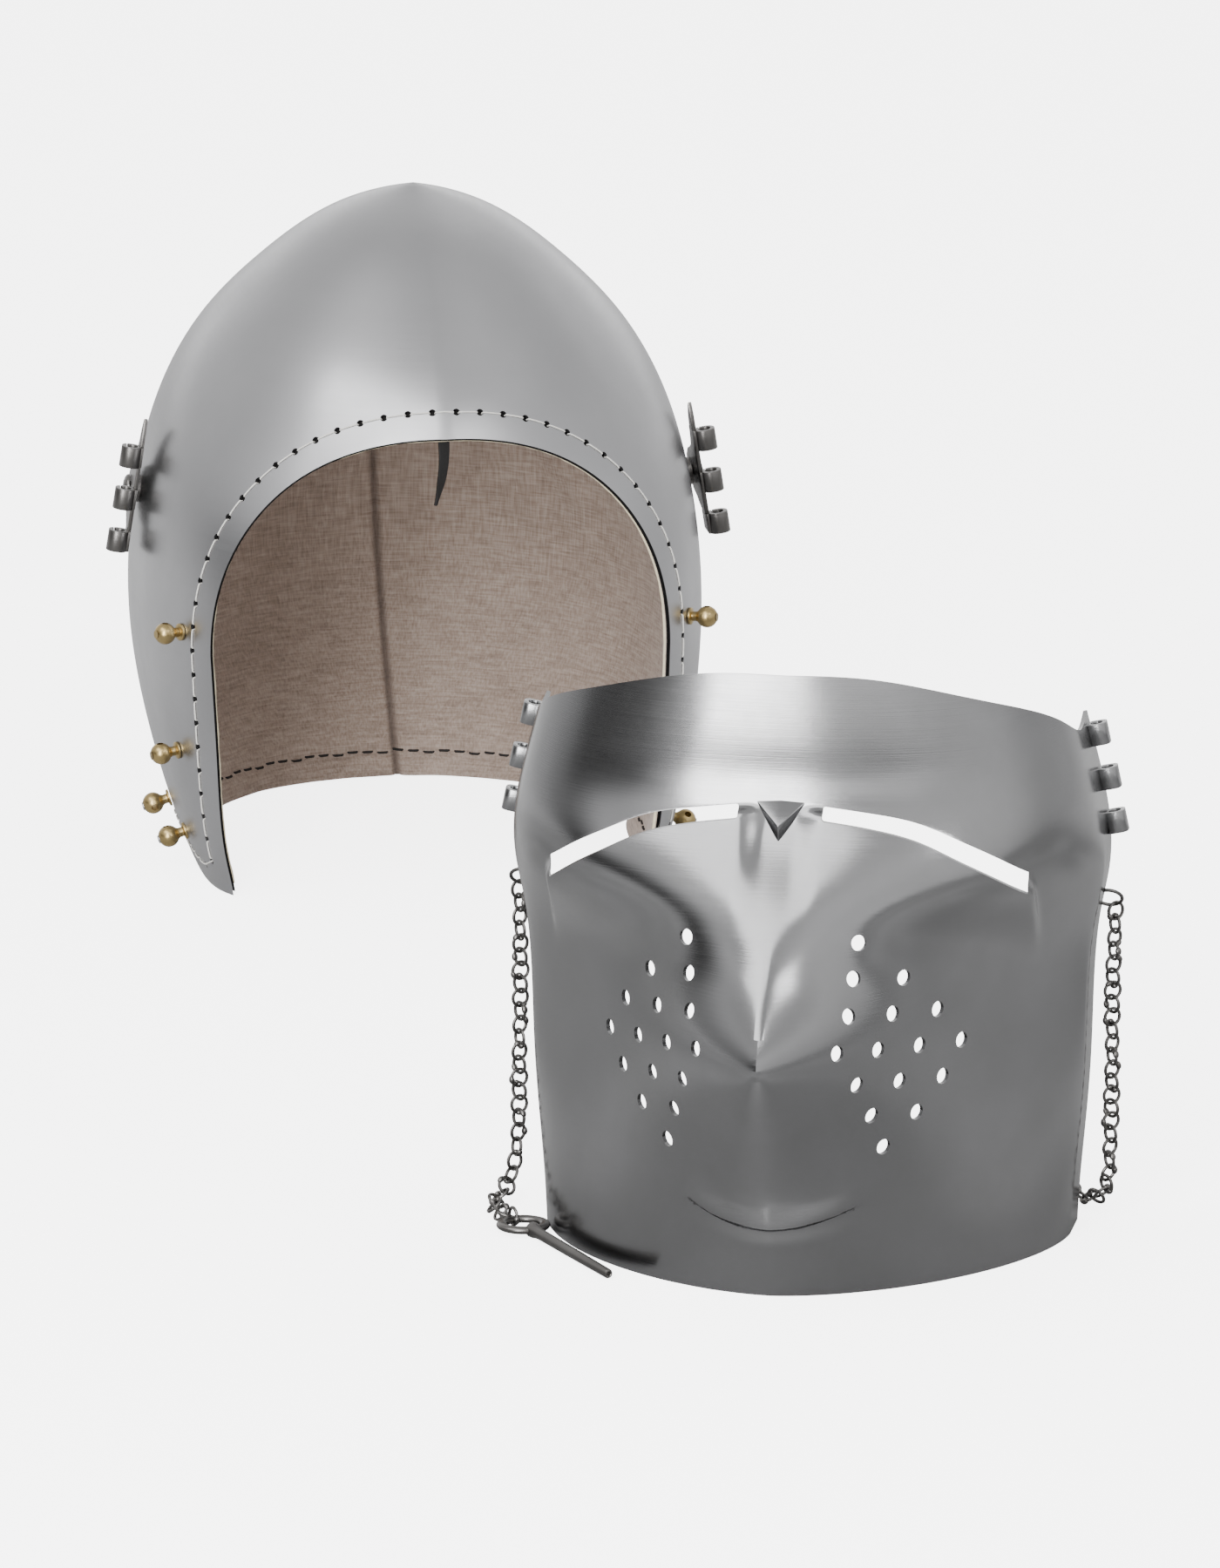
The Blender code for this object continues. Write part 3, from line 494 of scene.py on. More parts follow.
profilePoints = np.array([(row[0] * skull["height"], row[1] * skull["width"] / 2)
                          for row in skull["sections"]])
profileSteps = np.linalg.norm(np.diff(profilePoints, axis=0), axis=1)
skullSection = splineThrough(np.concatenate([[0], np.cumsum(profileSteps)]) / profileSteps.sum(),
                             skull["sections"])


def skullPoint(section, angle):
    # Angle 0 is the face, a quarter turn is the +X side
    height, width, front, back, squareness = section
    forwards = math.cos(angle)
    wide = max(width, 0) * skull["width"] / 2
    deep = max(front, 0) * skull["front"] if forwards > 0 else max(back, 0) * skull["back"]
    if wide * deep == 0:
        return Vector((0, 0, height * skull["height"])) * mm
    fade = smoothStep(0, 1, forwards + skull["squarenessFade"])
    power = skull["backSquareness"] + (squareness - skull["backSquareness"]) * fade
    reach = ((abs(math.sin(angle)) / wide) ** power + (abs(forwards) / deep) ** power) ** (-1 / power)
    x = reach * math.sin(angle)
    y = -reach * forwards
    if forwards > 0:
        y -= (skull["keelHeight"] * math.exp(-abs(x) / skull["keelWidth"])
              * smoothStep(0, 0.5, deep / skull["front"]))
    return Vector((x, y, height * skull["height"])) * mm


def openingOutline(inset, steps=48):
    halfWidth = faceOpening["width"] / 2 - inset
    height = faceOpening["height"] - inset
    cheekAt = splineThrough([row[0] for row in faceOpening["cheek"]],
                            [row[1:] for row in faceOpening["cheek"]])
    side = []
    for level in np.linspace(faceOpening["cheek"][0][0], faceOpening["cheek"][-1][0], 25):
        side.append((float(cheekAt(level)[0]) * halfWidth, level * faceOpening["height"]))
    spring = side[-1][1]
    for step in range(1, steps):
        turn = math.pi / 2 * step / steps
        side.append((halfWidth * math.cos(turn) ** (2 / faceOpening["arch"]),
                     spring + (height - spring) * math.sin(turn) ** (2 / faceOpening["arch"])))
    outline = side + [(0, height)] + [(-x, z) for x, z in reversed(side)]
    return [(x * mm, z * mm) for x, z in outline]


def floorCutter(top):
    deselectAll()
    bpy.ops.mesh.primitive_cube_add(size=0.6, location=(0, 0, top - 0.3))
    bpy.ops.object.transform_apply(location=True, rotation=False, scale=False)
    return named("floor_cutter")


steelBowl = wrappedGrid("steel_bowl", skull["across"], skull["up"],
                        lambda u, v: skullPoint(skullSection(v), 2 * math.pi * u), closed=True)
steelTree = treeOf(steelBowl)


def roundSteel(angle, z):
    out = Vector((math.sin(angle), -math.cos(angle), 0))
    spot, normal, _, _ = steelTree.ray_cast(out * 0.4 + Vector((0, 0, z)), -out)
    return spot, normal if normal.dot(out) > 0 else -normal


# Stitching that holds the lining: a row round the opening that turns along the rim

stitching = {
    "fromEdge": 11,       # along the steel
    "spacing": 9.5,
    "holeRadius": 1.45,
    "rimHeight": 8.5,
    "thread": 0.3,
    "threadLift": 0.35,
}


def stitchRow():
    # Points on the steel, a fixed way in from the opening's edge
    edge = [(x, z) for x, z in openingOutline(0) if z > stitching["rimHeight"] * mm]
    row = []
    for i, (x, z) in enumerate(edge):
        before, after = edge[max(i - 1, 0)], edge[min(i + 1, len(edge) - 1)]
        along = Vector((after[0] - before[0], after[1] - before[1])).normalized()
        out = Vector((along.y, -along.x))
        start, _ = frontOf(steelTree, x, z)
        wanted = stitching["fromEdge"] * mm
        near, far = 0.0, wanted
        for _ in range(18):
            middle = (near + far) / 2
            moved, _ = frontOf(steelTree, x + out.x * middle, z + out.y * middle)
            if (moved - start).length < wanted:
                near = middle
            else:
                far = middle
        row.append(frontOf(steelTree, x + out.x * near, z + out.y * near)[0])
    right, left = row[0], row[-1]
    firstAngle = math.atan2(right.x, -right.y)
    lastAngle = math.atan2(left.x, -left.y) + 2 * math.pi
    rimRow = []
    for angle in np.linspace(lastAngle, firstAngle, 121)[1:-1]:
        rimRow.append(roundSteel(float(angle), stitching["rimHeight"] * mm)[0])
    return row, rimRow


def evenly(points, spacing):
    lengths = np.concatenate([[0], np.cumsum([(b - a).length for a, b in zip(points, points[1:])])])
    count = round(lengths[-1] / spacing)
    columns = np.array([tuple(p) for p in points])
    return [Vector([float(np.interp(lengths[-1] * i / count, lengths, columns[:, axis]))
                    for axis in range(3)]) for i in range(count + 1)]


def nearestOut(spot):
    found, normal, _, _ = steelTree.find_nearest(spot)
    return found, normal if normal.dot(found - Vector((0, 0, found.z * 0.7))) > 0 else -normal


archRow, rimRow = stitchRow()
archHoles = evenly(archRow, stitching["spacing"] * mm)
rimHoles = evenly([archRow[-1]] + rimRow + [archRow[0]], stitching["spacing"] * mm)
stitchHoles = archHoles + rimHoles[1:-1]


def makeSkull():
    shell = copied(steelBowl, Matrix.Identity(4))
    applied(shell, "SOLIDIFY", thickness=skull["wall"] * mm, offset=-1, use_even_offset=True)
    cutAway(shell, outlinePrism("opening_cutter", openingOutline(0), -0.3, 0))
    cutAway(shell, floorCutter(0))
    drills = [drillAt(*nearestOut(hole), stitching["holeRadius"] * mm, 6 * mm, 14) for hole in stitchHoles]
    cutAway(shell, joined("stitch_drills", drills))
    surfaceNormals(shell, steelBowl)
    shell.name = shell.data.name = "steel_skull"
    finished(shell, skullPlace, steels["skull"], "root", ["skull"], smooth=None)
    print("skull raised, stitch holes:", len(stitchHoles))


makeSkull()


# Visor: a keeled plate with eye slots, a nose boss, a mouth slit and breaths

visor = {
    "height": 235, "width": 226, "depth": 150, "straight": 20, "wall": 1.6,
    "bend": 13 / 14,      # share of each side that is rounded, the rest runs straight back
    "sections": [
        # height, width, nose, squareness of the plan
        (-0.02, 0.888, 0.692, 1.68),
        (0.06, 0.897, 0.712, 1.60),
        (0.14, 0.912, 0.755, 1.45),
        (0.28, 0.935, 0.885, 1.22),
        (0.43, 0.947, 1.000, 1.12),
        (0.53, 0.970, 0.872, 1.25),
        (0.60, 0.997, 0.780, 1.48),
        (0.66, 1.000, 0.702, 1.85),
        (0.78, 0.957, 0.546, 2.45),
        (0.88, 0.905, 0.515, 2.40),
        (1.00, 0.860, 0.490, 2.30),
    ],
    "crown": [(0.00, 1.000), (0.30, 0.992), (0.55, 0.950), (0.80, 0.882), (0.93, 0.846), (1.00, 0.855)],
    "across": 224, "up": 150,
    # rows are drawn closer about the mouth and the eye slots: height share, row share
    "rowPlan": [(0, 0), (0.10, 0.08), (0.19, 0.24), (0.60, 0.55), (0.84, 0.88), (1, 1)],
    "below": 4,           # the sheet starts under the floor and is trimmed level with it
    "apex": 0.43,
    # the keel is softened within these distances of the middle, of the apex and of the floor
    "softKeel": {"across": (12, 34), "underApex": 26, "level": (36, 48), "rounds": 60},
}
eyeSlots = {
    # share of half the width, share of the height, opening
    "line": [(0.142, 0.783, 4.6), (0.240, 0.777, 4.6), (0.355, 0.768, 5.0), (0.470, 0.753, 5.6),
             (0.600, 0.723, 6.4), (0.725, 0.686, 7.4), (0.810, 0.652, 8.4)],
    "lip": 3.0,           # how far the plate below a slot stands in front of the brow
    "lipFade": 40,        # and how far down that step fades out
    "lipInner": (5, 16),  # the step rises between these distances from the middle
    "lipOuter": (0.80, 0.835),  # and falls away between these shares of half the width
    "followed": (0.10, 0.83),   # shares of half the width over which it keeps to the slot
    "corner": 1.1,
}
noseBoss = {"top": 188.5, "tip": 177.5, "halfWidth": 10.3, "stands": 4.6, "under": 173.5, "sunk": 0.7,
            "rounding": 0.35}
mouth = {
    "height": 29, "half": 29, "beyond": 5, "rise": 5,
    "opening": 1.2, "above": 0.5, "slant": 0.5, "taper": 0.5,
    # the lip stands out over the slit within lipStep of its middle, and the chin under it is hollowed
    "lip": 5.6, "lipHeight": 15, "lipStep": (-1.8, 1.9), "hollow": 1.8, "hollowStep": (-9, -1),
}
breaths = {
    "radius": 3.1, "pitch": 13.4, "slope": 0.19, "level": 25,
    "rows": [(3, 33.0, 13.8, 1), (2, 31.5, 17.0, 2), (1, 30.5, 14.6, 3), (0, 27.1, 13.4, 4),
             (-1, 33.4, 13.9, 3), (-2, 37.8, 14.8, 2), (-3, 41.3, 13.8, 1)],
}
knuckles = {"radius": 4.0, "height": 8.2, "pitch": 17.1, "bore": 2.4, "belowEdge": 3.7, "standoff": 0.75}

visorSection = splineThrough([row[0] for row in visor["sections"]], [row[1:] for row in visor["sections"]])
visorCrown = splineThrough([row[0] for row in visor["crown"]], [row[1:] for row in visor["crown"]])
slotLine = splineThrough([row[0] for row in eyeSlots["line"]], [row[1:] for row in eyeSlots["line"]])


def visorPlan(height, place):
    # Place runs from -1 at one rear edge to 1 at the other, 0 is the keel, in millimetres
    width, nose, power = visorSection(height / visor["height"])
    wide = width * visor["width"] / 2
    deep = nose * visor["depth"]
    side = math.copysign(1, place)
    if abs(place) > visor["bend"]:
        straight = (abs(place) - visor["bend"]) / (1 - visor["bend"])
        return Vector((side * wide, straight * visor["straight"], height))
    turn = abs(place) / visor["bend"] * math.pi / 2
    reach = ((math.sin(turn) / wide) ** power + (math.cos(turn) / deep) ** power) ** (-1 / power)
    return Vector((side * reach * math.sin(turn), -reach * math.cos(turn), height))


def mouthLevel(across):
    share = across / mouth["half"]
    return mouth["height"] + mouth["rise"] * share * share


def visorRelief(x, z):
    # What is raised on the plate: the step under the slots and the lip
    raised = 0.0
    half = visor["width"] / 2
    level, opening = slotLine(min(max(abs(x) / half, eyeSlots["followed"][0]), eyeSlots["followed"][1]))
    below = level * visor["height"] - z
    start, end = (share * half for share in eyeSlots["lipOuter"])
    outer = smoothStep(end, start, abs(x)) if abs(x) > start else 1.0
    bridge = smoothStep(*eyeSlots["lipInner"], abs(x))
    if below > -opening / 2:
        raised += (eyeSlots["lip"] * outer * bridge * smoothStep(-opening / 2, opening / 2, below)
                   * (1 - smoothStep(0.15, 1, below / eyeSlots["lipFade"])))
    reach = 1 - (x / (mouth["half"] + mouth["beyond"])) ** 2
    if reach > 0:
        above = z - mouthLevel(x)
        if above > 0:
            raised += (mouth["lip"] * reach * (1 - smoothStep(0, 1, above / mouth["lipHeight"]))
                       * smoothStep(*mouth["lipStep"], above))
        else:
            raised -= mouth["hollow"] * reach * smoothStep(*mouth["hollowStep"], above)
    return raised


def visorSurface(u, v):
    place = 2 * u - 1
    top = float(visorCrown(abs(place))[0]) * visor["height"]
    share = float(np.interp(v, [row[1] for row in visor["rowPlan"]], [row[0] for row in visor["rowPlan"]]))
    height = -visor["below"] + (top + visor["below"]) * share
    spot = visorPlan(height, place)
    step = 0.004
    along = visorPlan(height, min(place + step, 1)) - visorPlan(height, max(place - step, -1))
    rising = visorPlan(height + 0.5, place) - visorPlan(height - 0.5, place)
    out = along.cross(rising).normalized()
    if abs(place) < 5 * step:
        # Across the keel the way out is straight ahead
        out = Vector((0, out.y, out.z)).normalized()
    return (spot + out * visorRelief(spot.x, spot.z)) * mm


def smoothedKeel(plate):
    # Below the apex the keel is a soft fold, above it a crease
    bpy.context.tool_settings.mesh_select_mode = (True, False, False)
    group = plate.vertex_groups.new(name="soft keel")
    soft = visor["softKeel"]
    apexHeight = visor["apex"] * visor["height"]
    for vert in plate.data.vertices:
        x, z = vert.co.x / mm, vert.co.z / mm
        weight = ((1 - smoothStep(*soft["across"], abs(x))) * smoothStep(*soft["level"], z)
                  * smoothStep(0, soft["underApex"], apexHeight - z))
        if weight > 0:
            group.add([vert.index], weight, "REPLACE")
    applied(plate, "SMOOTH", factor=0.5, iterations=soft["rounds"], vertex_group="soft keel")
    plate.vertex_groups.clear()


def slotPrism(side):
    # Ends square across the slot, its corners filed a little round
    upper, lower = [], []
    for share in np.linspace(eyeSlots["line"][0][0], eyeSlots["line"][-1][0], 40):
        level, opening = slotLine(share)
        x = side * share * visor["width"] / 2
        upper.append((x * mm, (level * visor["height"] + opening / 2) * mm))
        lower.append((x * mm, (level * visor["height"] - opening / 2) * mm))
    prism = outlinePrism("slot_cutter", upper + lower[::-1], -0.15, 0)
    return bevelled(prism, eyeSlots["corner"], degrees=60, segments=3, use_clamp_overlap=True)


def mouthPrism(tree):
    # The slit rises as it goes in, so from the front it looks dark
    upper, lower = [], []
    for share in np.linspace(-1, 1, 33):
        x = share * mouth["half"]
        opening = mouth["opening"] / 2 * (1 - mouth["taper"] * share * share)
        upper.append((x * mm, (mouthLevel(x) + mouth["above"] + opening) * mm))
        lower.append((x * mm, (mouthLevel(x) + mouth["above"] - opening) * mm))
    prism = outlinePrism("mouth_cutter", upper + lower[::-1], -0.13, -0.07)
    for vert in prism.data.vertices:
        front = frontOf(tree, vert.co.x, mouthLevel(vert.co.x / mm) * mm)[0].y
        vert.co.z += (vert.co.y - front) * mouth["slant"]
    return prism


def bossPyramid(tree):
    # A low pyramid upside down on the keel, its two bright faces meet in a ridge
    deselectAll()
    bpy.ops.mesh.primitive_cone_add(vertices=4, radius1=1, depth=1)
    boss = named("nose_boss")
    feet = [(-noseBoss["halfWidth"], noseBoss["top"]), (0, noseBoss["top"] + 0.5),
            (noseBoss["halfWidth"], noseBoss["top"]), (0, noseBoss["under"])]
    ring = sorted((v for v in boss.data.vertices if v.co.z < 0), key=lambda v: math.atan2(v.co.y, v.co.x))
    for vert, (x, z) in zip(ring, feet):
        spot, out = frontOf(tree, x * mm, z * mm)
        vert.co = spot - out * noseBoss["sunk"] * mm
    peak = next(v for v in boss.data.vertices if v.index not in {r.index for r in ring})
    spot, out = frontOf(tree, 0, noseBoss["tip"] * mm)
    peak.co = spot + Vector((0, out.y, out.z)).normalized() * noseBoss["stands"] * mm
    bpy.ops.object.mode_set(mode="EDIT")
    return bevelled(facedOut(boss), noseBoss["rounding"], degrees=20, segments=3)


def visorRear(height):
    return float(visorSection(height / visor["height"])[0]) * visor["width"] / 2


ringHole = {"radius": 1.75, "height": 131, "inset": 4}


def ringHoleSpot(side):
    out = visorRear(ringHole["height"]) - visor["wall"] / 2
    return Vector((side * out, visor["straight"] - ringHole["inset"], ringHole["height"])) * mm


def makeVisor():
    plate = wrappedGrid("visor_plate", visor["across"], visor["up"], visorSurface, closed=False)
    smoothedKeel(plate)
    tree = treeOf(plate)
    shell = copied(plate, Matrix.Identity(4))
    applied(shell, "SOLIDIFY", thickness=visor["wall"] * mm, offset=-1)
    cutAway(shell, mouthPrism(tree))
    cutAway(shell, floorCutter(0))
    for side in (-1, 1):
        cutAway(shell, slotPrism(side))
    drills = []
    for row, first, step, count in breaths["rows"]:
        for index in range(count):
            for side in (-1, 1):
                across = side * (first + step * index)
                height = (visor["apex"] * visor["height"] + row * breaths["pitch"]
                          - breaths["slope"] * (abs(across) - breaths["level"]))
                spot, out = frontOf(tree, across * mm, height * mm)
                drills.append(drillAt(spot, out, breaths["radius"] * mm, 10 * mm))
    for side in (-1, 1):
        drills.append(drillAt(ringHoleSpot(side), Vector((1, 0, 0)), ringHole["radius"] * mm, 6 * mm))
    cutAway(shell, joined("breath_drills", drills))
    surfaceNormals(shell, plate)
    boss = bossPyramid(tree)
    bpy.data.objects.remove(plate, do_unlink=True)
    shell.name = shell.data.name = "steel_visor"
    finished(shell, visorPlace, steels["visor"], "root", ["visor"], smooth=None)
    finished(boss, visorPlace, steels["visor"], "root", smooth=30)
    print("visor shaped")


makeVisor()


# Lining: padded cotton gores, seamed at the back, the sides and the brow

lining = {
    "gap": 0.7, "thickness": 4, "proud": 1.2, "lift": 1,
    "across": 288, "up": 96,
    # more rows near the bottom hem: share of the profile, share of the rows
    "rowPlan": [(0, 0), (0.09, 0.20), (1, 1)],
    "seamTilt": 0.043,     # how far the back seam leans as it rises
    "seamAtFloor": 3.1,
    "seamDepth": 2.0, "seamWidth": 1.3, "puff": 2.0, "puffWidth": 16, "shade": 1.3,
    "hemRow": 9.5, "hemDepth": 0.9,
    "creases": 0.8,
}


def offSeams(x, y, z):
    # How far a point of the lining is from its nearest seam, in millimetres
    if abs(x) > abs(y) * 0.9:
        return abs(y)
    if y > 0:
        return abs(x - lining["seamAtFloor"] + lining["seamTilt"] * z)
    return abs(x)


def liningRelief(spot):
    # How far the padding swells into the hollow, in millimetres
    x, y, z = (value / mm for value in spot)
    offSeam = offSeams(x, y, z)
    raised = lining["puff"] * (1 - math.exp(-(offSeam / lining["puffWidth"])))
    raised -= lining["seamDepth"] * math.exp(-(offSeam / lining["seamWidth"]) ** 2)
    raised -= lining["hemDepth"] * math.exp(-((z - lining["hemRow"]) / 1.6) ** 2)
    turn = Vector((x * 0.75 + z * 0.66, y, z * 0.75 - x * 0.66))
    raised += lining["creases"] * noise.noise(Vector((turn.x / 60, turn.y / 40, turn.z / 9)))
    raised += 0.35 * lining["creases"] * noise.noise(Vector((x / 22, y / 22, z / 16)) + Vector((7, 3, 1)))
    # Loose cloth on the right gathers into slanting folds under the crown
    folds = smoothStep(20, 75, x) * smoothStep(60, 110, z) * smoothStep(-60, 0, y)
    slant = Vector(((x * 0.85 + z * 0.5) / 9, y / 50, (z * 0.85 - x * 0.5) / 70))
    return raised + 1.7 * folds * noise.noise(slant)


cotton = {
    "colour": "#A09085", "dark": "#7C6E65", "light": "#BAACA2", "inSeam": "#5A4E47",
    # width of a thread, length of its thick places, depth of the nap, tilt of the weave in radians
    "thread": 0.7, "slub": 9, "nap": 0.35, "tilt": 0.35,
}


def cottonWeave(name, finish):
    # Unbleached padded cotton: matt, with an uneven hand-woven thread that catches the light
    material, tree, shader = newMaterial(name)
    shader.inputs["Roughness"].default_value = 0.92
    shader.inputs["Specular IOR Level"].default_value = 0.15
    shader.inputs["Sheen Weight"].default_value = 0.15
    coords = addNode(tree, "ShaderNodeTexCoord")
    fine, long = 1 / (finish["thread"] * mm), 1 / (finish["slub"] * mm)
    tilt = (finish["tilt"], finish["tilt"], 0)
    warp = addNode(tree, "ShaderNodeMapping", {"Scale": (fine, fine, long), "Rotation": tilt},
                   {"Vector": (coords, "Object")})
    weft = addNode(tree, "ShaderNodeMapping", {"Scale": (long, long, fine), "Rotation": tilt},
                   {"Vector": (coords, "Object")})
    warpThreads = addNode(tree, "ShaderNodeTexNoise", {"Scale": 1, "Detail": 2}, {"Vector": (warp, 0)})
    weftThreads = addNode(tree, "ShaderNodeTexNoise", {"Scale": 1, "Detail": 2}, {"Vector": (weft, 0)})
    threads = addNode(tree, "ShaderNodeMath", links={0: (warpThreads, 0), 1: (weftThreads, 0)},
                      operation="ADD")
    soil = addNode(tree, "ShaderNodeTexNoise", {"Scale": 1 / (46 * mm), "Detail": 5, "Roughness": 0.6},
                   {"Vector": (coords, "Object")})
    mottled = addNode(tree, "ShaderNodeMath", {1: 0.55}, {0: (soil, 0), 2: (threads, 0)},
                      operation="MULTIPLY_ADD")
    spread = addNode(tree, "ShaderNodeMapRange", {"From Min": 0.8, "From Max": 1.75},
                     {"Value": (mottled, 0)})
    ramp = addNode(tree, "ShaderNodeValToRGB", links={"Fac": (spread, 0)})
    ramp.color_ramp.elements[0].color = linear(finish["dark"])
    ramp.color_ramp.elements[1].color = linear(finish["light"])
    middle = ramp.color_ramp.elements.new(0.5)
    middle.color = linear(finish["colour"])
    bump = addNode(tree, "ShaderNodeBump", {"Strength": finish["nap"], "Distance": 0.4 * mm},
                   {"Height": (threads, 0)})
    # The sewn seams are darkened: dirt, and a painted shade in their grooves
    seams = addNode(tree, "ShaderNodeAttribute", attribute_name="seam")
    seamDirtAndShade = addNode(tree, "ShaderNodeMix", {7: linear(finish["inSeam"])}, {0: (seams, "Fac"), 6: (ramp, 0)},
                   data_type="RGBA")
    tree.links.new(seamDirtAndShade.outputs[2], shader.inputs["Base Color"])
    tree.links.new(bump.outputs[0], shader.inputs["Normal"])
    return material


def plainFinish(name, colour, roughness, grain, metallic=0.0):
    # A matt or waxed surface with a fine grain of its own, grain is its size in millimetres and depth
    material, tree, shader = newMaterial(name)
    shader.inputs["Metallic"].default_value = metallic
    shader.inputs["Roughness"].default_value = roughness
    coords = addNode(tree, "ShaderNodeTexCoord")
    size, depth = grain
    speckle = addNode(tree, "ShaderNodeTexNoise", {"Scale": 1 / (size * mm), "Detail": 3},
                      {"Vector": (coords, "Object")})
    tint = addNode(tree, "ShaderNodeMix",
                   {6: linear(colour), 7: tuple(v * 0.6 for v in linear(colour)[:3]) + (1,)},
                   {0: (speckle, 0)}, data_type="RGBA")
    bump = addNode(tree, "ShaderNodeBump", {"Strength": depth, "Distance": 0.15 * mm},
                   {"Height": (speckle, 0)})
    tree.links.new(tint.outputs[2], shader.inputs["Base Color"])
    tree.links.new(bump.outputs[0], shader.inputs["Normal"])
    return material


liningCotton = cottonWeave("padded unbleached cotton", cotton)
edgeCotton = plainFinish("folded cream cotton edge", "#EADFC0", 0.9, grain=(1.6, 0.7))
whiteThread = plainFinish("waxed linen thread", "#E4E2DC", 0.6, grain=(0.5, 0.5))
blackThread = plainFinish("black linen thread", "#1B1918", 0.75, grain=(0.5, 0.5))
# A near-black sheet for the lining's side against the steel: painted shade in the stitch holes
holeShadeSheet = plainFinish("near-black sheet as painted shade in the stitch holes", "#121010", 0.95, grain=(0.8, 0.5))
blackLeather = plainFinish("black dyed leather", "#100F0F", 0.55, grain=(0.7, 0.6))


def strung(name, paths, radius, sides=1):
    # Lengths of round thread or wire along lists of points, made a mesh
    curve = bpy.data.curves.new(name, "CURVE")
    curve.dimensions = "3D"
    curve.bevel_depth = radius
    curve.bevel_resolution = sides
    curve.use_fill_caps = True
    for points in paths:
        line = curve.splines.new("POLY")
        line.points.add(len(points) - 1)
        for point, spot in zip(line.points, points):
            point.co = (*spot, 1)
    thing = bpy.data.objects.new(name, curve)
    bpy.context.collection.objects.link(thing)
    makeActive(thing)
    bpy.ops.object.convert(target="MESH")
    return named(name)


def makeLining():
    inset = skull["wall"] + lining["gap"]
    rows = [row[1] for row in lining["rowPlan"]], [row[0] for row in lining["rowPlan"]]

    def liningPoint(u, v):
        # Columns crowd towards the four seams
        angle = 2 * math.pi * u - 0.78 * math.sin(8 * math.pi * u) / 4
        return skullPoint(skullSection(float(np.interp(v, *rows))), angle)

    padding = wrappedGrid("padded_lining", lining["across"], lining["up"], liningPoint, closed=True)
    for vert, normal in [(v, v.normal.copy()) for v in padding.data.vertices]:
        vert.co -= normal * inset * mm
    padding.data.update()
    outer = len(padding.data.vertices)
    applied(padding, "SOLIDIFY", thickness=lining["thickness"] * mm, offset=-1)
    inner = [v for v in padding.data.vertices if v.index >= outer]
    for vert, normal in [(v, v.normal.copy()) for v in inner]:
        vert.co += normal * liningRelief(vert.co) * mm
    padding.data.update()
    cutAway(padding, outlinePrism("lining_opening", openingOutline(lining["proud"]), -0.3, 0), folded=True)
    cutAway(padding, floorCutter(lining["lift"] * mm))
    tree = treeOf(padding)
    # Painted shade and dirt along the seams: strongest on each seam line, fading within the lining's shade
    # width
    shades = padding.data.attributes.new("seam", "FLOAT", "POINT")
    for shade, vert in zip(shades.data, padding.data.vertices):
        away = offSeams(*(value / mm for value in vert.co)) / lining["shade"]
        shade.value = 0.75 * math.exp(-away ** 2)
    finished(padding, skullPlace, liningCotton, "root", ["lining"], smooth=50)
    # The side against the steel is made near-black, a painted shade that shows through the stitch holes and
    # makes them look dark
    padding.data.materials.append(holeShadeSheet)
    for face in padding.data.polygons:
        middle = skullPlace.inverted() @ face.center
        spot, out = nearestOut(middle)
        facing = (skullPlace.to_3x3().inverted() @ face.normal).dot(out)
        if (spot - middle).length < (inset + 0.8) * mm and facing > 0.5:
            face.material_index = 1
    print("lining padded")
    return tree


# inside the steel's edge, behind its face, half the edge's thickness, how far it waves
foldedEdge = {"proud": 0.35, "behind": 4.1, "radius": 1.65, "wave": 0.25, "step": 2.5, "above": 1.5}


def makeEdge():
    # The folded edge of the cotton, seen as a cream line inside the steel
    path = []
    for x, z in openingOutline(foldedEdge["proud"]):
        if z > foldedEdge["above"] * mm:
            spot, out = frontOf(steelTree, x, z)
            path.append(spot + Vector((0, foldedEdge["behind"] * mm / max(-out.y, 0.5), 0)))
    wavy = []
    for spot in evenly(path, foldedEdge["step"] * mm):
        sway = Vector((noise.noise(spot * 160), 0, noise.noise(spot * 190 + Vector((5, 5, 5)))))
        wavy.append(spot + sway * foldedEdge["wave"] * mm)
    edge = strung("lining_edge", [wavy], foldedEdge["radius"] * mm, sides=3)
    finished(edge, skullPlace, edgeCotton, "root")


# The hem's running stitch: how many round the back, from and over how many degrees, in millimetres
# how far it wanders, how deep its ends go and how far it stands out of the cotton
hemStitch = {"count": 58, "from": 62, "over": 236, "wander": 0.4, "deep": 0.7, "proud": 0.25, "thread": 0.5}


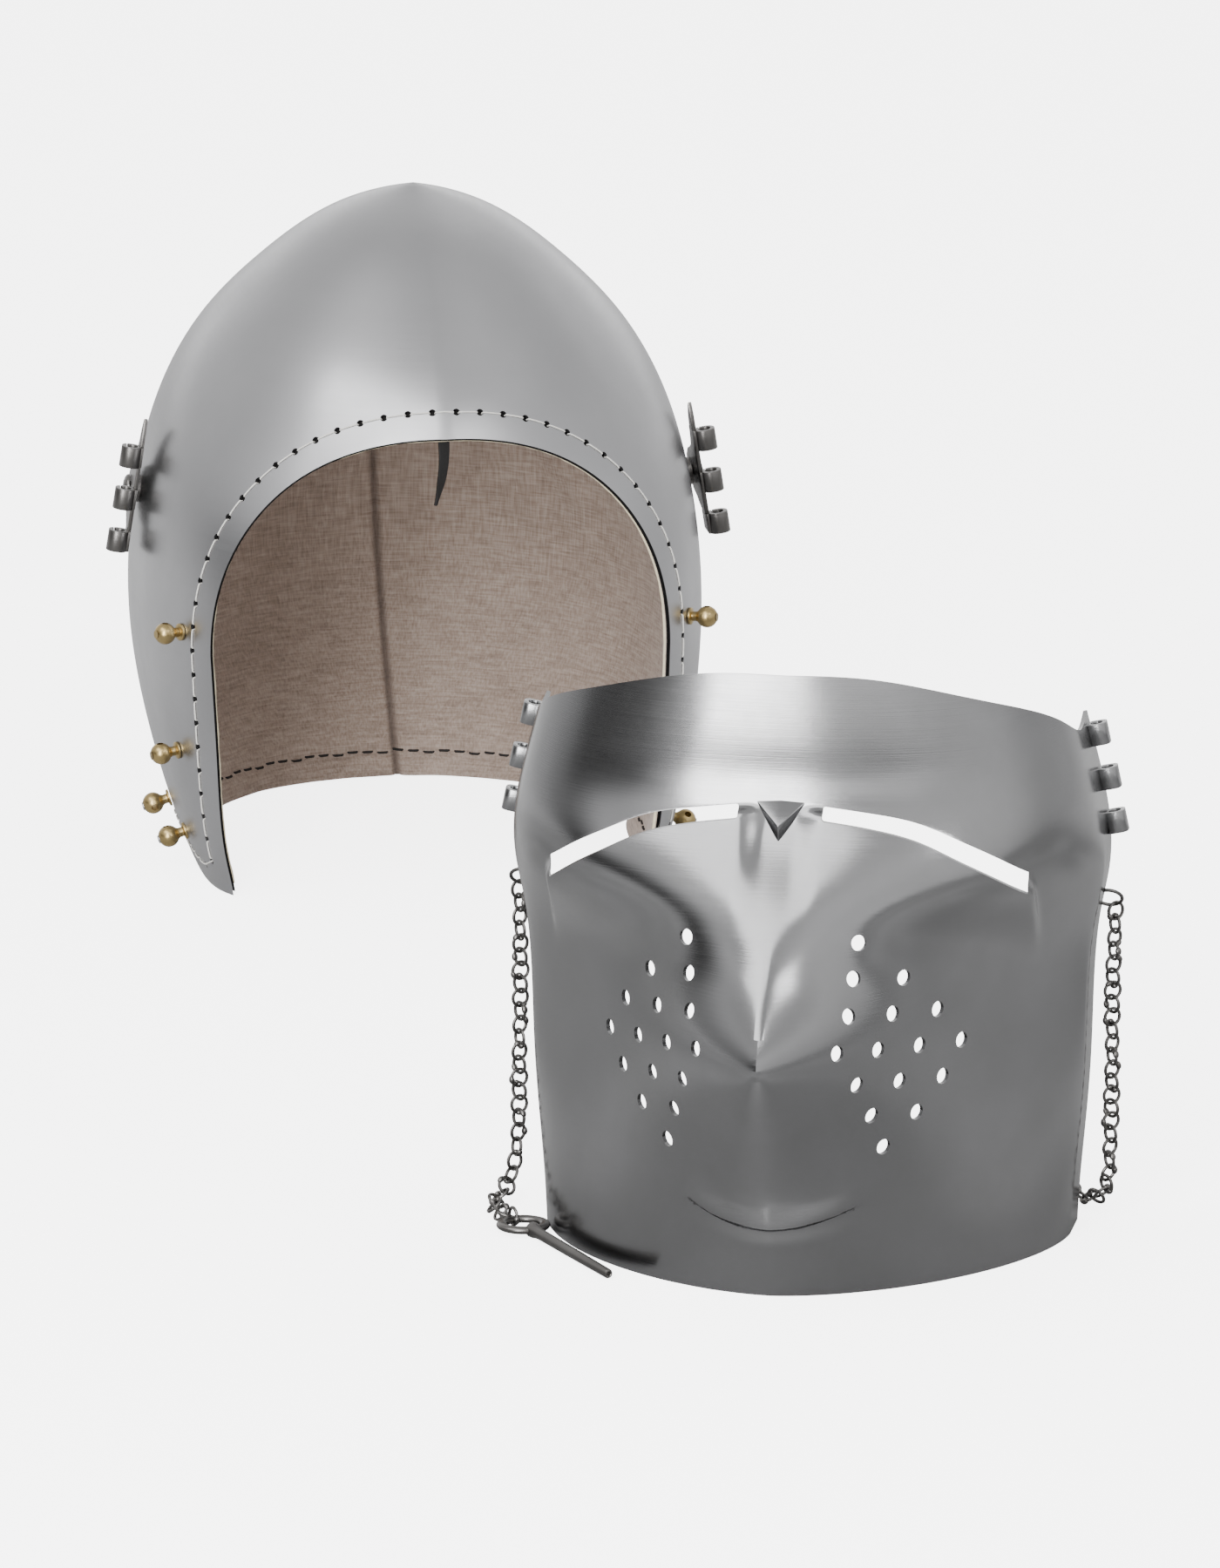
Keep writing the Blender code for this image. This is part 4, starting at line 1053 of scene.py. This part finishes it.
def makeStitches(tree):
    runs = []
    for row in (archHoles, [archHoles[-1]] + rimHoles[1:-1] + [archHoles[0]]):
        for start, end in zip(row, row[1:]):
            (a, outA), (b, outB) = nearestOut(start), nearestOut(end)
            along = (b - a).normalized()
            middle, outM = nearestOut((a + b) / 2)
            lift, deep = stitching["threadLift"] * mm, 1.1 * mm
            near = stitching["holeRadius"] * 0.85 * mm
            runs.append([a - outA * deep + along * near * 0.8,
                         a + along * near + outA * lift * 0.4,
                         a + along * near * 1.6 + outA * lift,
                         middle + outM * lift,
                         b - along * near * 1.6 + outB * lift,
                         b - along * near + outB * lift * 0.4,
                         b - outB * deep - along * near * 0.8])
    thread = strung("lining_thread", runs, stitching["thread"] * mm)
    finished(thread, skullPlace, whiteThread, "root")
    inside = []
    shares = (0, 0.12, 0.35, 0.6, 0.72)
    over = math.radians(hemStitch["over"])
    for index in range(hemStitch["count"]):
        angle = math.radians(hemStitch["from"]) + over * index / hemStitch["count"]
        level = (lining["hemRow"] + hemStitch["wander"] * math.sin(index * 2.1)) * mm
        points = []
        for share in shares:
            turn = angle + over / hemStitch["count"] * share
            out = Vector((math.sin(turn), -math.cos(turn), 0))
            hit = tree.ray_cast(Vector((0, 0, level)), out)[0]
            if hit is not None:
                sunk = hemStitch["deep"] if share in (shares[0], shares[-1]) else -hemStitch["proud"]
                points.append(hit + out * sunk * mm)
        if len(points) == len(shares):
            inside.append(points)
    hem = strung("hem_thread", inside, hemStitch["thread"] * mm)
    finished(hem, skullPlace, blackThread, "root")
    print("stitches sewn:", len(runs), "and", len(inside))


lace = {"width": 4.6, "thickness": 1.1, "twist": 70, "bow": 2.2, "sway": 2}


def makeLace():
    low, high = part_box("lining_lace")
    centre = (low + high) / 2

    def laceAt(u, v):
        down = 1 - v
        turn = math.radians(lace["twist"]) * down
        # Narrow at the stitching and at the tip
        width = (lace["width"] * (1 - 0.55 * smoothStep(0.72, 1, down))
                 * (1 - 0.25 * smoothStep(0.25, 0, down)))
        bow = lace["bow"] * math.sin(math.pi * down) - lace["sway"] * down
        side = (u - 0.5) * width
        return Vector((centre.x + (bow + side * math.cos(turn)) * mm,
                       centre.y + side * math.sin(turn) * 0.6 * mm, high.z - (high.z - low.z) * down))

    strip = wrappedGrid("leather_lace", 6, 36, laceAt, closed=False)
    applied(strip, "SOLIDIFY", thickness=lace["thickness"] * mm, offset=0)
    bevelled(strip, 0.25)
    finished(strip, Matrix.Identity(4), blackLeather, "root", ["lining_lace"])


liningTree = makeLining()
makeEdge()
makeStitches(liningTree)
makeLace()


# Small metal: turned studs and rivets, rolled knuckles, rings, links and pins

def turned(name, profile, vertices=28):
    # A disc drawn up ring by ring, rows are radius and height in millimetres
    deselectAll()
    radius, height = profile[0]
    bpy.ops.mesh.primitive_circle_add(vertices=vertices, radius=radius * mm, fill_type="NGON",
                                      location=(0, 0, height * mm))
    bpy.ops.object.transform_apply(location=True, rotation=False, scale=False)
    piece = named(name)
    bpy.ops.object.mode_set(mode="EDIT")
    bpy.ops.mesh.select_all(action="SELECT")
    for nextRadius, nextHeight in profile[1:]:
        rise = (nextHeight - height) * mm
        bpy.ops.mesh.extrude_region_move(TRANSFORM_OT_translate={"value": (0, 0, rise)})
        bpy.ops.transform.resize(value=(nextRadius / radius, nextRadius / radius, 1))
        radius, height = nextRadius, nextHeight
    return facedOut(piece)


def seatFrom(spot, out):
    # Z points out of the steel and Y runs up it
    up = (Vector((0, 0, 1)) - out * out.z).normalized()
    seat = Matrix((up.cross(out), up, out)).transposed().to_4x4()
    seat.translation = spot
    return seat


studs = {
    "ball": 4.3, "neck": 1.9, "foot": 3.4, "centre": 7.24, "hole": 1.3, "rivet": 1.65,
    "cheek": [(103, 54), (54, 56)],
    "neckHeight": 15, "neckFirst": 65, "neckIntervals": 4,
}
agedBrass = plainFinish("aged turned brass", "#C4AC78", 0.3, metallic=1.0, grain=(3.5, 0.15))
brightSteel = plainFinish("cut steel rivet end", "#CFCFCF", 0.35, metallic=1.0, grain=(0.6, 0.2))


def studSpots():
    spots = []
    for side in (-1, 1):
        spots += [(height, side * degrees) for height, degrees in studs["cheek"]]
    step = (180 - studs["neckFirst"]) / studs["neckIntervals"]
    for index in range(studs["neckIntervals"]):
        turn = studs["neckFirst"] + step * index
        spots += [(studs["neckHeight"], -turn), (studs["neckHeight"], turn)]
    return spots + [(studs["neckHeight"], 180)]


def addStud(model, seat, name, material, nodes=()):
    piece = copied(model, seat)
    piece.name = piece.data.name = name
    finished(piece, skullPlace, material, "root", nodes)


def makeStuds():
    ball, centre = studs["ball"], studs["centre"]
    profile = [(studs["foot"], 0.2), (studs["foot"], 0.85), (studs["foot"] - 0.35, 1.15),
               (studs["neck"], 1.4), (studs["neck"], 3.0)]
    for degrees in range(-56, 85, 10):
        turn = math.radians(degrees)
        profile.append((ball * math.cos(turn), centre + ball * 0.97 * math.sin(turn)))
    stud = turned("stud", profile + [(studs["rivet"], centre + ball * 0.96)], vertices=26)
    cutAway(stud, drillAt(Vector((0, 0, centre * mm)), Vector((0, 1, 0)), studs["hole"] * mm, 14 * mm, 16))
    rivet = turned("rivet", [(studs["rivet"], centre + ball * 0.9), (studs["rivet"], centre + ball * 0.99),
                             (studs["rivet"] * 0.6, centre + ball * 1.03)], vertices=16)
    for index, (height, angle) in enumerate(studSpots(), start=1):
        spot, out = roundSteel(math.radians(angle), height * mm)
        seat = seatFrom(spot, out)
        low = height == studs["neckHeight"]
        if low:
            seat = seat @ Matrix.Rotation(math.radians(37 * index), 4, "Z")
        addStud(stud, seat, f"brass_stud_{index:02d}", agedBrass, [f"vervelle_{index:02d}"])
        if low:
            addStud(rivet, seat, f"stud_rivet_{index:02d}", brightSteel)
    for spare in (stud, rivet):
        bpy.data.objects.remove(spare, do_unlink=True)
    print("studs turned")


def rolledKnuckle(name, radius, height, bore, squareness=2.6, vertices=40):
    # A strip rolled round the pin, about Z, its seam towards -X
    outline = []
    for step in range(vertices):
        turn = 2 * math.pi * step / vertices
        c, s = math.cos(turn), math.sin(turn)
        reach = radius * (abs(c) ** squareness + abs(s) ** squareness) ** (-1 / squareness)
        outline.append((reach * c * mm, reach * s * mm))
    knuckle = outlinePrism(name, outline, -height / 2 * mm, height / 2 * mm)
    knuckle.data.transform(Matrix.Rotation(math.pi / 2, 4, "X"))
    cutAway(knuckle, drillAt(Vector(), Vector((0, 0, 1)), bore * mm, 20 * mm, 28))
    deselectAll()
    bpy.ops.mesh.primitive_cube_add(size=1)
    slit = named("slit")
    slit.data.transform(Matrix.Translation((-radius * mm, -radius * 0.45 * mm, 0))
                        @ Matrix.Diagonal((radius * 1.7 * mm, 0.3 * mm, 20 * mm, 1)))
    cutAway(knuckle, slit)
    return bevelled(knuckle, 0.28)


arms = {
    "thickness": 1.6, "standoff": 2.6, "reach": 19,
    # outline of the plate: shares of its reach forwards and of the knuckles' pitch up
    "outline": [(0.80, -1.22), (0.80, -1.00), (0.62, -0.80), (0.40, -0.72), (0.10, -0.58), (-0.18, -0.50),
                (-0.45, -0.28), (-0.52, 0.00), (-0.45, 0.28), (-0.18, 0.50), (0.10, 0.60), (0.40, 0.76),
                (0.55, 1.15), (0.70, 1.62), (0.90, 1.90), (0.98, 1.60), (0.99, 1.28), (0.99, -1.24)],
    # the straps under the knuckles: from, to, half height
    "strap": (10, 20.5, 4.1),
    "rivetHead": 5, "dome": 2.2, "washer": 5.5, "shank": 2.3, "rivetHole": 2.65,
}


def flatPlate(name, outline, low, high):
    # The prism runs along Y, the plate's thickness is along Z
    plate = outlinePrism(name, outline, low * mm, high * mm)
    plate.data.transform(Matrix(((1, 0, 0, 0), (0, 0, 1, 0), (0, 1, 0, 0), (0, 0, 0, 1))))
    plate.data.flip_normals()
    return plate


def makeArm(sideName, side, joint):
    spot, axis = Vector(joint["pos_m"]), Vector(joint["axis"]).normalized()
    out = axis if axis.x * side > 0 else -axis
    seat = seatFrom(spot, out)
    forward = -side
    low, high = arms["standoff"], arms["standoff"] + arms["thickness"]
    outline = [(forward * reach * arms["reach"] * mm, up * knuckles["pitch"] * mm)
               for reach, up in arms["outline"]]
    plate = flatPlate("plate", outline, low, high)
    middle = Vector((0, 0, (low + arms["thickness"] / 2) * mm))
    cutAway(plate, drillAt(middle, Vector((0, 0, 1)), arms["rivetHole"] * mm, 8 * mm, 24))
    parts = [bevelled(plate, 0.35)]
    knuckle = rolledKnuckle("knuckle", knuckles["radius"], knuckles["height"], knuckles["bore"], 2.3)
    for level in (-1, 0, 1):
        rolled = (Matrix.Translation(Vector((forward * arms["reach"], level * knuckles["pitch"],
                                             high + knuckles["radius"] * 0.8)) * mm)
                  @ Matrix.Rotation(-math.pi / 2, 4, "X")
                  @ Matrix.Rotation(math.pi if forward < 0 else 0, 4, "Z"))
        parts.append(copied(knuckle, rolled))
        start, end, half = arms["strap"]
        strap = [(forward * a * mm, (level * knuckles["pitch"] + b) * mm)
                 for a, b in ((start, -half), (end, -half), (end, half), (start, half))]
        parts.append(bevelled(flatPlate("tab", strap, low + 0.01, high - 0.01), 0.3))
    bpy.data.objects.remove(knuckle, do_unlink=True)
    arm = joined("hinge_plate_" + sideName, parts)
    finished(arm, seat, steels["dark"], "arm_" + sideName, ["hinge_arm_" + sideName])
    head, dome = arms["rivetHead"], arms["dome"]
    foot = high + 0.4
    rivet = turned("pivot_rivet_" + sideName, [
        (arms["washer"], 0.1), (arms["washer"], low - 0.5), (arms["washer"] - 0.3, low - 0.35),
        (arms["shank"], low - 0.3), (arms["shank"], high + 0.35), (head, foot), (head, foot + dome * 0.3),
        (head * 0.93, foot + dome * 0.55), (head * 0.78, foot + dome * 0.77),
        (head * 0.5, foot + dome * 0.94), (head * 0.2, foot + dome)], vertices=32)
    finished(rivet, seat, steels["dark"], "root", ["pivot_" + sideName])


def makeVisorKnuckles():
    knuckle = rolledKnuckle("knuckle", knuckles["radius"], knuckles["height"], knuckles["bore"], 3.2)
    highest = float(visorCrown(1)[0]) * visor["height"] - knuckles["belowEdge"] - knuckles["height"] / 2
    lowest = highest - 2 * knuckles["pitch"]
    lean = math.atan2(visorRear(highest) - visorRear(lowest), highest - lowest)
    parts = []
    for side in (-1, 1):
        for level in (-1, 0, 1):
            height = (lowest + highest) / 2 + level * knuckles["pitch"]
            spot = Vector((side * (visorRear(height) + knuckles["radius"] * knuckles["standoff"]),
                           visor["straight"] - knuckles["radius"], height)) * mm
            parts.append(copied(knuckle, Matrix.Translation(spot) @ Matrix.Rotation(side * lean, 4, "Y")
                                @ Matrix.Rotation(math.pi if side < 0 else 0, 4, "Z")))
    bpy.data.objects.remove(knuckle, do_unlink=True)
    rolls = joined("visor_knuckles", parts)
    finished(rolls, visorPlace, steels["visor"], "root")


chain = {
    "ring": 5.05, "ringWire": 0.7, "droop": (0.45, 0.60, -0.66),
    "link": 3.35, "wire": 0.66, "pitch": 5.35, "lap": (1.1, 1.75, 1.25),
    "routes": {
        # outside the visor's half width, behind its widest station, height
        "left": [(1.0, 21, 90), (1.5, 21, 50), (2.0, 20, 24), (5.0, 14, 7), (8.0, 2, 3.0), (5.0, -10, 2.9),
                 (-1.0, -19, 2.9)],
        "right": [(0.5, 22, 90), (0.0, 24, 50), (-1.0, 26, 24), (-5.0, 33, 7), (-14.0, 43, 3.0),
                  (-22.0, 54, 2.9), (-27.0, 64, 2.9)],
    },
}
pins = {
    "headings": {"left": -56, "right": 115}, "shaft": 2.2, "tip": 1.9, "length": 66,
    "eye": 8.3, "eyeWire": 2.07, "flattened": 0.72, "eyeHeight": 2.9,
}


def axesMatrix(x, y, z, spot):
    made = Matrix((x, y, z)).transposed().to_4x4()
    made.translation = spot
    return made


def torus(name, major, minor, around, through):
    deselectAll()
    bpy.ops.mesh.primitive_torus_add(major_radius=major * mm, minor_radius=minor * mm,
                                     major_segments=around, minor_segments=through)
    return named(name)


def rested(piece):
    # Nothing sinks into the floor
    for vert in piece.data.vertices:
        vert.co.z = max(vert.co.z, 0.05 * mm)


def makeChain(sideName, side):
    droop = Vector((side * chain["droop"][0], chain["droop"][1], chain["droop"][2])).normalized()
    centre = ringHoleSpot(side) + droop * chain["ring"] * mm
    normal = droop.cross(Vector((1, 0, 0))).normalized()
    ring = torus("chain_loop_" + sideName, chain["ring"], chain["ringWire"], 56, 12)
    ring.data.transform(axesMatrix(droop, normal.cross(droop), normal, centre))
    finished(ring, visorPlace, steels["dark"], "root", ["chain_ring_" + sideName])

    top = centre + droop * chain["ring"] * mm - Vector((0, 0, (chain["ringWire"] + 0.35) * mm))
    route = [top] + [Vector((side * (visor["width"] / 2 + out), back, height)) * mm
                     for out, back, height in chain["routes"][sideName]]
    lengths = [0.0]
    for start, end in zip(route, route[1:]):
        lengths.append(lengths[-1] + (end - start).length)
    along = splineThrough(lengths, [tuple(point) for point in route])
    total = lengths[-1]
    first, last = 1.55 * mm, total + 1.9 * mm
    count = math.ceil((last - first) / (chain["pitch"] * mm))
    link = torus("link", chain["link"], chain["wire"], 22, 8)
    deselectAll()
    bpy.ops.mesh.primitive_uv_sphere_add(segments=12, ring_count=8, radius=1)
    lap = named("lap")
    lap.data.transform(Matrix.Translation((chain["link"] * mm, 0, 0))
                       @ Matrix.Diagonal((*(half * mm for half in chain["lap"]), 1)))
    link = joined("link", [link, lap])
    heading = math.radians(pins["headings"][sideName])
    ahead = Vector((math.cos(heading), math.sin(heading), 0))
    links = []
    for index in range(count + 1):
        place = first + (last - first) * index / count
        spot = Vector(along(min(place, total)))
        tangent = (Vector(along(min(place + 1 * mm, total)))
                   - Vector(along(max(place - 1 * mm, 0)))).normalized()
        if place > total:
            spot += ahead * (place - total)
            tangent = ahead
        across = tangent.cross(Vector((1, 0, 0))).normalized()
        other = tangent.cross(across)
        swing = math.radians((-45 if index % 2 else 45) + 9 * math.sin(index * 2.4))
        if index == count:
            swing = 0
            spot.z = (chain["link"] + chain["wire"] + 0.05) * mm
        elif index == count - 1:
            swing = math.radians(68)
        within = across * math.cos(swing) + other * math.sin(swing)
        spin = Matrix.Rotation(2.4 * index + 0.8 * side, 4, "Z")
        links.append(copied(link, axesMatrix(tangent, within, tangent.cross(within), spot) @ spin))
    bpy.data.objects.remove(link, do_unlink=True)
    run = joined("linked_chain_" + sideName, links)
    rested(run)
    finished(run, visorPlace, steels["dark"], "root", ["chain_" + sideName])

    end = route[-1]
    eyeCentre = (Vector((end.x, end.y, pins["eyeHeight"] * mm))
                 + ahead * (pins["eye"] + pins["eyeWire"] + 0.35) * mm)
    eye = torus("eye", pins["eye"], pins["eyeWire"], 48, 20)
    eye.data.transform(axesMatrix(ahead, Vector((-ahead.y, ahead.x, 0)), Vector((0, 0, 1)), eyeCentre)
                       @ Matrix.Diagonal((1, 1, pins["flattened"], 1)))
    start = eyeCentre + ahead * pins["eye"] * mm
    tip = start + ahead * pins["length"] * mm
    tip.z = (pins["tip"] + 0.1) * mm
    length = (tip - start).length / mm
    shaft = turned("shaft", [
        (3.1, -0.5), (3.0, 1.2), (2.6, 3.0), (pins["shaft"], 6.0), (pins["shaft"] * 0.97, length * 0.5),
        (pins["tip"], length - 0.7), (pins["tip"] * 0.86, length - 0.15), (pins["tip"] * 0.6, length),
        (pins["tip"] * 0.45, length - 0.2), (pins["tip"] * 0.4, length - 1.4)], vertices=20)
    shaft.data.transform(Matrix.Diagonal((1, 0.94, 1, 1)))
    shaft.data.transform(aimed(start, tip - start, "X"))
    pin = joined("loose_pin_" + sideName, [eye, shaft])
    rested(pin)
    finished(pin, visorPlace, steels["dark"], "root", ["hinge_pin_" + sideName])


makeStuds()
armJoints = {joint["child"]: joint for joint in frame["record"]["behaviour"]["joints"]}
for side, sideName in ((-1, "left"), (1, "right")):
    makeArm(sideName, side, armJoints["arm_" + sideName])
    makeChain(sideName, side)
makeVisorKnuckles()
print("hinges, chains and pins in place")


bpy.data.objects.remove(steelBowl, do_unlink=True)
